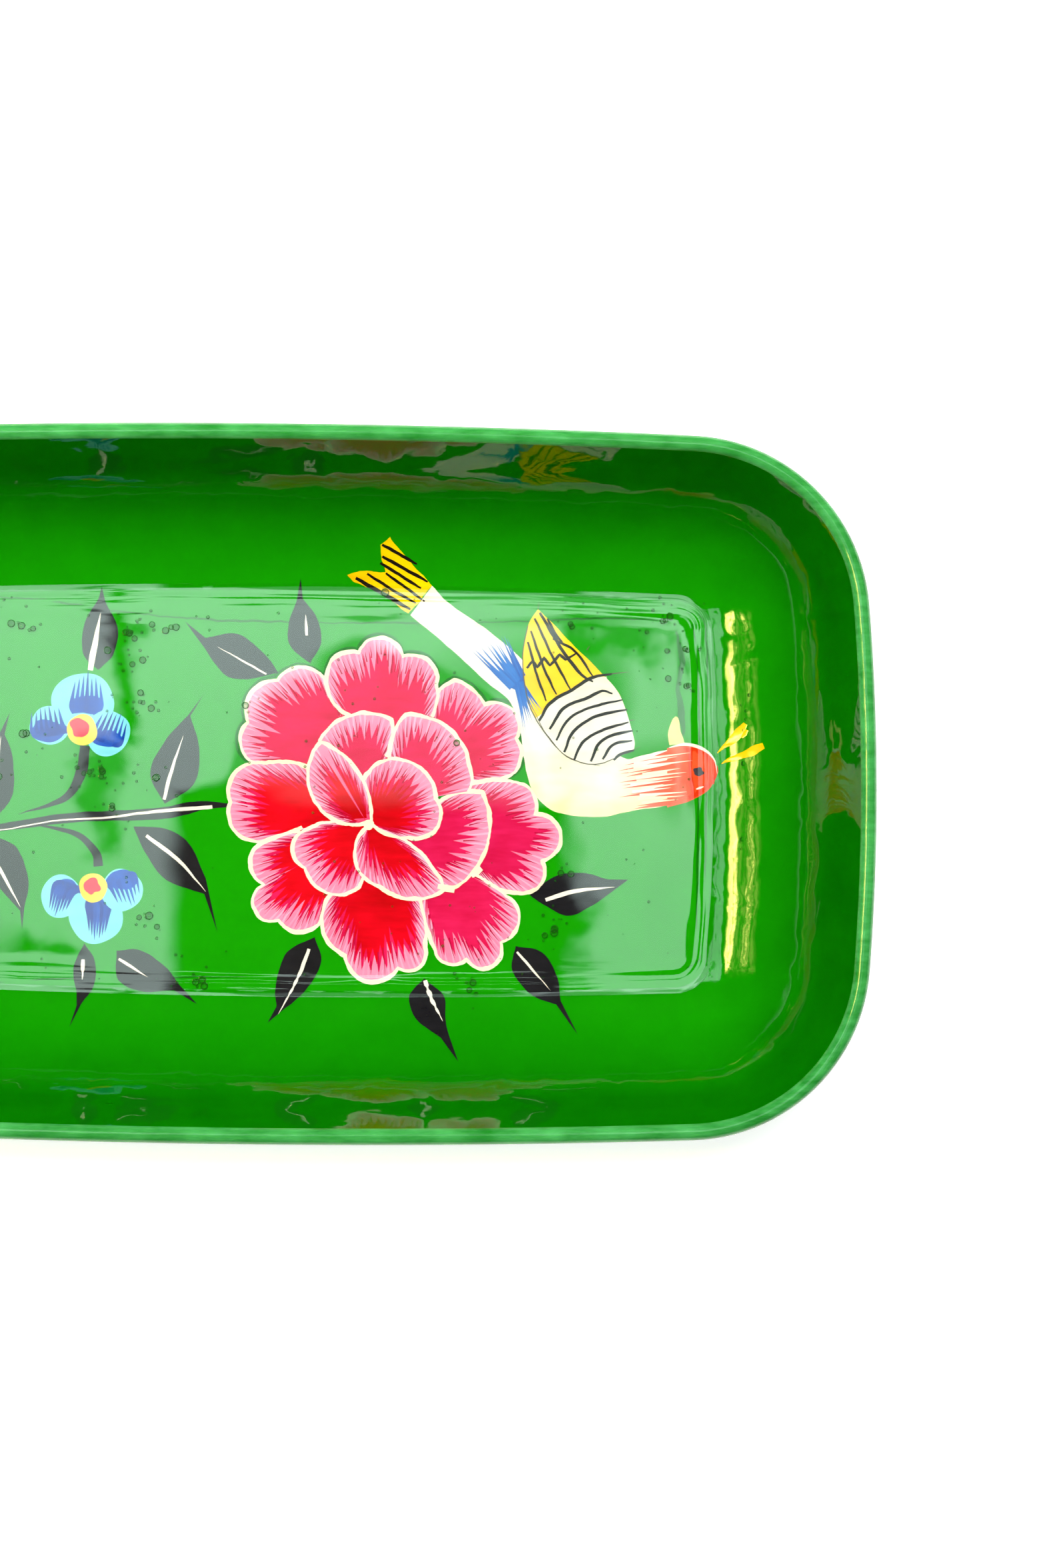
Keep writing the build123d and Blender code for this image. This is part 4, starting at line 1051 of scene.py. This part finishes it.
def makeBird():
    draw = random.Random(birdSetup["seed"])
    tail, body, yellow, white, head, red = (newSheet() for i in range(6))
    blue, lines, grey, crest, beak, eye = (newSheet() for i in range(6))
    lift = birdSetup["lift"]

    def patch(sheetOf, loop, rise, spacing=2.4, loadAt=None):
        addPatch(sheetOf, loop, lift + rise, spacing, loadAt)

    def stroke(sheetOf, path, widths, rise, load=0.3, crown=0.006):
        addStroke(sheetOf, path, widths, lift + rise, load, crown)

    patch(tail, handDrawn(densePath(tailEdge), 0.3, 201), 0.006, 2.0, lambda x, y: 0.65 - 0.035 * (x - 2))
    outline = smoothPath(backEdge) + smoothPath(bellyEdge)[:-1]
    patch(body, handDrawn(outline, 0.16, 202), 0, loadAt=lambda x, y: 0.1 + max(0.0, (12 - y) * 0.035))
    wing = smoothPath(wingFront) + list(reversed(smoothPath(wingBack)))[1:-1]
    patch(yellow, handDrawn(wing, 0.12, 203), 0.012, loadAt=lambda x, y: 0.15)
    bar = smoothPath(barEdge)
    front = [p for p in smoothPath(wingFront) if p[1] < barEdge[-1][1] and p[0] > 70]
    back = [p for p in reversed(smoothPath(wingBack)) if p[1] < barEdge[0][1]]
    patch(white, bar + front + back[1:], 0.018, loadAt=lambda x, y: 0.1)
    face = smoothPath(headTop) + list(reversed(smoothPath(headUnder)))[1:-1]
    face = [p for p in face if p[0] > 88.5]
    patch(head, handDrawn(face, 0.1, 204), 0.006, loadAt=lambda x, y: 0.2 + 0.06 * (x - 92))
    # neck feathers, orange and white in turn
    for i in range(17):
        level = i / 16
        start = (draw.uniform(89, 95), 11.4 - 14 * level)
        stop = (draw.uniform(75.5, 84), 8.9 - 12.6 * level - 0.6)
        stroke(head, smoothPath([start, stop], 1.0), (1.1, 0.9, 0.5, 0.05), 0.010,
               draw.uniform(0.1, 0.5), 0.005)
    for i in range(13):
        level = (i + 0.5) / 13
        start = (draw.uniform(78, 82), 9.2 - 12.2 * level)
        stop = (draw.uniform(89, 95.5), 11.6 - 13.8 * level)
        stroke(body, smoothPath([start, stop], 1.0), (0.9, 0.7, 0.4, 0.05), 0.016,
               draw.uniform(0.0, 0.4), 0.005)
    for path, widths in (
            ([(95.6, 12.6), (94.8, 8), (95.4, 3), (96.2, -1.0)], (0.8, 1.3, 0.6, 1.4, 0.7)),
            ([(100.4, 9.6), (101.6, 6.4), (100.8, 2.6)], (0.6, 1.5, 1.0)),
            ([(93, 12.4), (97.6, 11.4), (100.2, 9)], (0.5, 1.6, 0.8)),
            ([(94.6, -1.2), (97.4, 0.4), (100.2, 2.6)], (1.0, 1.5, 0.7))):
        stroke(red, handDrawn(smoothPath(path), 0.3, 205), widths, 0.014)
    stroke(body, [p for p in smoothPath(headTop) if p[0] > 89], (0.25, 0.8, 0.9, 0.4, 0.1), 0.022, 0.1)
    stroke(body, smoothPath([(96.6, 1.2), (98.6, 1.9)]), (0.3, 0.6, 0.2), 0.024, 0.0, 0.004)
    # blue rump: two fans of pointed strokes from one waist
    waist = (48.2, 29.2)
    patch(blue, roundPatch(*waist, 2.1, 2.3, 209, 0.3), 0.011, 1.2, lambda x, y: 0.7)
    for i in range(13):
        t = i / 12
        stop = (35.4 + 9.8 * t, 37.4 + 4.6 * t + draw.uniform(-1, 1))
        start = (46.6 + 2.8 * t, 28.2 + 3.0 * t)
        middle = ((start[0] * 1.2 + stop[0]) / 2.2 + 0.3, (start[1] * 1.2 + stop[1]) / 2.2 - 0.6)
        stroke(blue, smoothPath([start, middle, stop]), (1.9, 1.2, 0.6, 0.3, 0.04), 0.012,
               draw.uniform(-0.1, 0.7))
    for i in range(10):
        t = i / 9
        start = (waist[0] + 1.4 * t - 0.4, waist[1] - 0.5 * t + 0.6)
        stop = (49.8 + 5.2 * t, 16.4 + 6.2 * t + draw.uniform(-0.8, 0.8))
        stroke(blue, smoothPath([start, stop]), (1.9, 1.2, 0.6, 0.25, 0.04), 0.010, draw.uniform(0.0, 0.7))
    for index, line in enumerate(tailLines + wingLines + barLines):
        width = draw.uniform(0.72, 1.0)
        if index == len(tailLines) - 1:
            width = 1.15
        path = densePath(line) if len(line) == 8 else smoothPath(line)  # the zigzag stays pointed
        stroke(lines, handDrawn(path, 0.16, index + 300),
               (width * 0.7, width, width * 0.9, width, width * 0.5), 0.024)
    pencil = handDrawn(smoothPath(wingBack[1:] + [(81.4, 12.6)]), 0.14, 330)
    stroke(grey, pencil, (0.3, 0.28, 0.34, 0.22, 0.3, 0.1), 0.024, 0.4, 0.004)
    second = [(x + 0.5, y - 0.5) for x, y in smoothPath(wingBack[3:-1])]
    stroke(grey, handDrawn(second, 0.2, 331), (0.1, 0.24, 0.2, 0.1), 0.024, 0.7, 0.004)
    for x, y, dx, dy in ((73.4, 32.2, 5.0, 0.6), (53.5, 49.6, 0.2, 1.8), (78.4, 19.6, 1.6, 0.2),
                         (66.8, 38.6, 0.8, 1.2)):
        stroke(grey, smoothPath([(x, y), (x + dx, y + dy)]), (0.3, 0.2, 0.08), 0.02, 0.3, 0.004)
    tuft = [(89.2, 13.0), (89.0, 16.4), (90.2, 20.2), (91.6, 20.6), (92.4, 17), (93.4, 13.6)]
    patch(crest, handDrawn(smoothPath(tuft, 0.5), 0.2, 340), 0.004, 1.5)
    for path, widths in (
            ([(102.2, 10.9), (104.4, 13), (107, 15.4), (109.6, 18.8)], (0.15, 1.0, 2.2, 2.6, 1.2)),
            ([(108.6, 15.2), (110.2, 17)], (0.8, 1.4, 0.6)),
            ([(103.4, 8.0), (106, 9.4), (110, 10.8), (114.2, 12.8)], (0.15, 1.5, 1.7, 2.6, 1.6))):
        stroke(beak, handDrawn(smoothPath(path, 0.5), 0.2, 350), widths, 0, draw.uniform(0.1, 0.5), 0.05)
    patch(eye, roundPatch(97.3, 5.9, 1.35, 1.25, 360, 0.5), 0.026, 1.0, lambda x, y: 0.5 * draw.random())
    finishSheets((
        (tail, "birdTail", "tail yellow", birdYellow, "yellow_paint", "bird_tail"),
        (body, "birdBody", "bird white", birdWhite, "cream_paint", "bird_body"),
        (yellow, "birdWingYellow", "wing yellow", birdYellow, "yellow_paint", "bird_wing_yellow"),
        (white, "birdWingWhite", "wing white", birdWhite, "cream_paint", "bird_wing_white"),
        (head, "birdHead", "head orange", headOrange, "orange_paint", "bird_head"),
        (red, "birdHeadRed", "head red", headRed, "orange_paint"),
        (blue, "birdRump", "rump blue", rumpBlue, "blue_paint", "bird_rump"),
        (lines, "birdFeatherLines", "bird black", lineBlack, "black_paint", "bird_feather_lines"),
        (grey, "birdWingPencil", "pencil grey", lineGrey, "black_paint"),
        (crest, "birdCrest", "crest yellow", crestYellow, "yellow_paint", "bird_crest"),
        (beak, "birdBeak", "beak yellow", birdYellow, "yellow_paint", "bird_beak"),
        (eye, "birdEye", "eye grey", eyeGrey, "black_paint", "bird_eye"),
    ))
    print("bird painted")


makeBird()


# floor, world and lights
studio = {
    "floorTone": 0.92, "floorGlow": 0.85, "backdrop": 1.0, "fill": 0.03, "horizon": 1.8, "dark": 0.004,
    "cardHeight": 900.0, "cardStrength": 3.9, "cardTint": (0.78, 1.0, 0.94), "cardWander": 0.05,
    "cardGrade": (0.82, 1.1), "lampTint": (1, 0.80, 0.20),
    "keyPower": 20.5, "keyPlace": (0.0, 0.43, 1.1), "keySize": 0.7,
}
# lit panes of the one window card, by where each is mirrored: middle and half size on the pool, softness
windowPanes = [(2, 32, 104, 34, 3), (-72, -32, 27.5, 36, 3), (84, -32, 21, 36, 3), (2, -55.5, 104, 1.5, 1)]
# straight-sided shades over those panes: middle, half size, edge softness, how much light each takes
windowGaps = [(-57, 30, 3.5, 16, 3, 1.0), (-63, -2, 5, 17, 4, 0.9), (-80, -50, 9, 7, 4, 1.0),
              (72, 44, 11, 5, 4, 0.9), (80, 38, 7, 4, 4, 0.9), (-66, 52, 5, 3, 3, 0.9),
              (61, -42, 5, 20, 4, 1.0)]
# and round ones: middle, half size, edge softness, how much each takes
windowShades = [(12.5, -4, 40, 43, 2, 0.78), (64, 22, 14, 20, 5, 0.75), (44, 34, 12, 8, 6, 0.5),
                (92, 5, 13, 9, 4, 0.6)]
# warm lamps far to the left, mirrored as streaks in the right cove: place, half size, softness, strength
warmLamps = [((-350, 40), (64, 88), 26, 60.0), ((-650, 20), (60, 62), 36, 34.0),
             ((-560, 45), (300, 110), 60, 3.4)]


def softEdge(tree, value, inside, outside):
    return feed(tree, "MapRange", "Result", {"Value": value, "From Min": outside, "From Max": inside},
                interpolation_type="SMOOTHSTEP")


def softBox(tree, vector, centre, half, soft):  # 1 inside a box, falling to 0 over its soft edge
    moved = feed(tree, "VectorMath", 0, {0: vector, 1: (*centre, 0)}, operation="SUBTRACT")
    size = feed(tree, "VectorMath", 0, {0: moved}, operation="ABSOLUTE")
    split = addNode(tree, "SeparateXYZ", {0: size}).outputs
    edges = [softEdge(tree, split[axis], half[k] - soft, half[k] + soft) for k, axis in enumerate("XY")]
    return compute(tree, "MULTIPLY", *edges)


def softDisc(tree, vector, centre, half, soft):  # the same for an ellipse
    moved = feed(tree, "VectorMath", 0, {0: vector, 1: (*centre, 0)}, operation="SUBTRACT")
    scaled = feed(tree, "VectorMath", 0, {0: moved, 1: (1 / half[0], 1 / half[1], 0)}, operation="MULTIPLY")
    away = feed(tree, "VectorMath", "Value", {0: scaled}, operation="LENGTH")
    reach = soft / min(half)
    return softEdge(tree, away, 1 - reach, 1 + reach)


def newGlow(name):
    material, tree = newMaterial(name)[:2]
    tree.nodes.clear()
    return material, tree, feed(tree, "TexCoord", "Object")


def finishGlow(tree, shape, strength, tint):
    power = compute(tree, "MULTIPLY", shape, strength)
    glow = feed(tree, "Emission", 0, {"Color": (*tint, 1), "Strength": power})
    addNode(tree, "OutputMaterial", {"Surface": glow})


def addPanel(name, place, half, material, up=False):
    corners = [(-half[0], -half[1]), (-half[0], half[1]), (half[0], half[1]), (half[0], -half[1])]
    if up:
        corners = [corners[0], *reversed(corners[1:])]
    mesh = bpy.data.meshes.new(name)
    mesh.from_pydata([((x + place[0]) * mm, (y + place[1]) * mm, place[2] * mm) for x, y in corners],
                     [], [(0, 1, 2, 3)])
    mesh.materials.append(material)
    panel = newObject(name, mesh)
    if not up:
        panel.visible_camera = False
        panel.visible_shadow = False


def onCard(x, y, halfX, halfY, soft):  # what to light on the card, in metres, to show there on the pool
    eye = cameraSetup["place"]
    ratio = studio["cardHeight"] / eye[2]
    centre = ((x * (1 + ratio) - eye[0] * ratio) * mm, (y * (1 + ratio) - eye[1] * ratio) * mm)
    return centre, (halfX * (1 + ratio) * mm, halfY * (1 + ratio) * mm), soft * (1 + ratio) * mm


def makeWindowCard():
    material, tree, place = newGlow("window light")
    wander = feed(tree, "TexNoise", "Color", {"Vector": place, "Scale": 38, "Detail": 3})
    centred = feed(tree, "VectorMath", 0, {0: wander, 1: (0.5, 0.5, 0.5)}, operation="SUBTRACT")
    scaled = feed(tree, "VectorMath", 0, {0: centred, "Scale": studio["cardWander"]}, operation="SCALE")
    warped = feed(tree, "VectorMath", 0, {0: place, 1: scaled}, operation="ADD")
    lit = None
    for pane in windowPanes:
        shape = softBox(tree, place, *onCard(*pane))
        lit = compute(tree, "MAXIMUM", lit, shape) if lit else shape
    shades = [(gap, softBox, warped) for gap in windowGaps]
    shades += [(shade, softDisc, place) for shade in windowShades]
    for (*form, taken), softShape, where in shades:
        share = compute(tree, "MULTIPLY", softShape(tree, where, *onCard(*form)), taken)
        lit = compute(tree, "MULTIPLY", lit, compute(tree, "SUBTRACT", 1.0, share))
    dimmest, brightest = studio["cardGrade"]
    north = addNode(tree, "SeparateXYZ", {"Vector": place}).outputs["Y"]
    grade = feed(tree, "MapRange", "Result", {"Value": north, "From Min": 0.0, "From Max": 0.16,
                                              "To Min": dimmest, "To Max": brightest})
    finishGlow(tree, compute(tree, "MULTIPLY", grade, lit), studio["cardStrength"], studio["cardTint"])
    addPanel("windowCard", (0, 60, studio["cardHeight"]), (340, 240), material)


def makeLamps():  # soft-edged and uneven along their length
    for index, (middle, half, soft, strength) in enumerate(warmLamps):
        name = f"warmLamp{index + 1}"
        material, tree, place = newGlow(name)
        shape = softBox(tree, place, tuple(v * mm for v in middle), tuple(v * mm for v in half), soft * mm)
        uneven = feed(tree, "TexNoise", "Fac", {"Vector": place, "Scale": 16, "Detail": 2})
        level = feed(tree, "MapRange", "Result", {"Value": uneven, "From Min": 0.40, "From Max": 0.60,
                                                  "To Min": 0.1, "To Max": 1.0})
        finishGlow(tree, compute(tree, "MULTIPLY", shape, level), strength, studio["lampTint"])
        height = studio["cardHeight"] + 4 * index
        addPanel(name, (*middle, height), (half[0] + soft, half[1] + soft), material)


def makeStudio():
    material, tree, surface = newMaterial("pale floor")
    setInputs(surface, {
        "Base Color": (*[studio["floorTone"]] * 3, 1), "Roughness": 0.9, "Specular IOR Level": 0.1,
        "Emission Color": (1, 1, 1, 1), "Emission Strength": studio["floorGlow"]})
    addPanel("floor", (0, 0, -0.03), (4000, 4000), material, up=True)

    world = bpy.data.worlds.new("studio")
    bpy.context.scene.world = world
    world.use_nodes = True
    tree = world.node_tree
    tree.nodes.clear()
    path = addNode(tree, "LightPath").outputs
    split = addNode(tree, "SeparateXYZ", {"Vector": feed(tree, "TexCoord", "Generated")})
    band = feed(tree, "MapRange", "Result", {
        "Value": split.outputs["Z"], "From Min": 0.15, "From Max": 0.04, "To Min": studio["dark"],
        "To Max": studio["horizon"]}, interpolation_type="SMOOTHSTEP")
    mirrored = feed(tree, "Mix", "Result", {"Factor": path["Is Glossy Ray"], "A": studio["fill"], "B": band},
                    data_type="FLOAT")
    seen = feed(tree, "Mix", "Result", {
        "Factor": path["Is Camera Ray"], "A": mirrored, "B": studio["backdrop"]}, data_type="FLOAT")
    sky = feed(tree, "Background", 0, {"Color": (1, 1, 1, 1), "Strength": seen})
    addNode(tree, "OutputWorld", {"Surface": sky})

    key = bpy.data.lights.new("key", "AREA")
    key.energy = studio["keyPower"]
    key.size = studio["keySize"]
    lamp = newObject("key", key)
    lamp.location = studio["keyPlace"]
    lamp.rotation_euler = (-Vector(studio["keyPlace"])).to_track_quat("-Z", "Y").to_euler()
    lamp.visible_camera = False
    lamp.visible_glossy = False

    makeWindowCard()
    makeLamps()
    bpy.context.scene.view_settings.view_transform = "Standard"
    print("studio lit")


makeStudio()
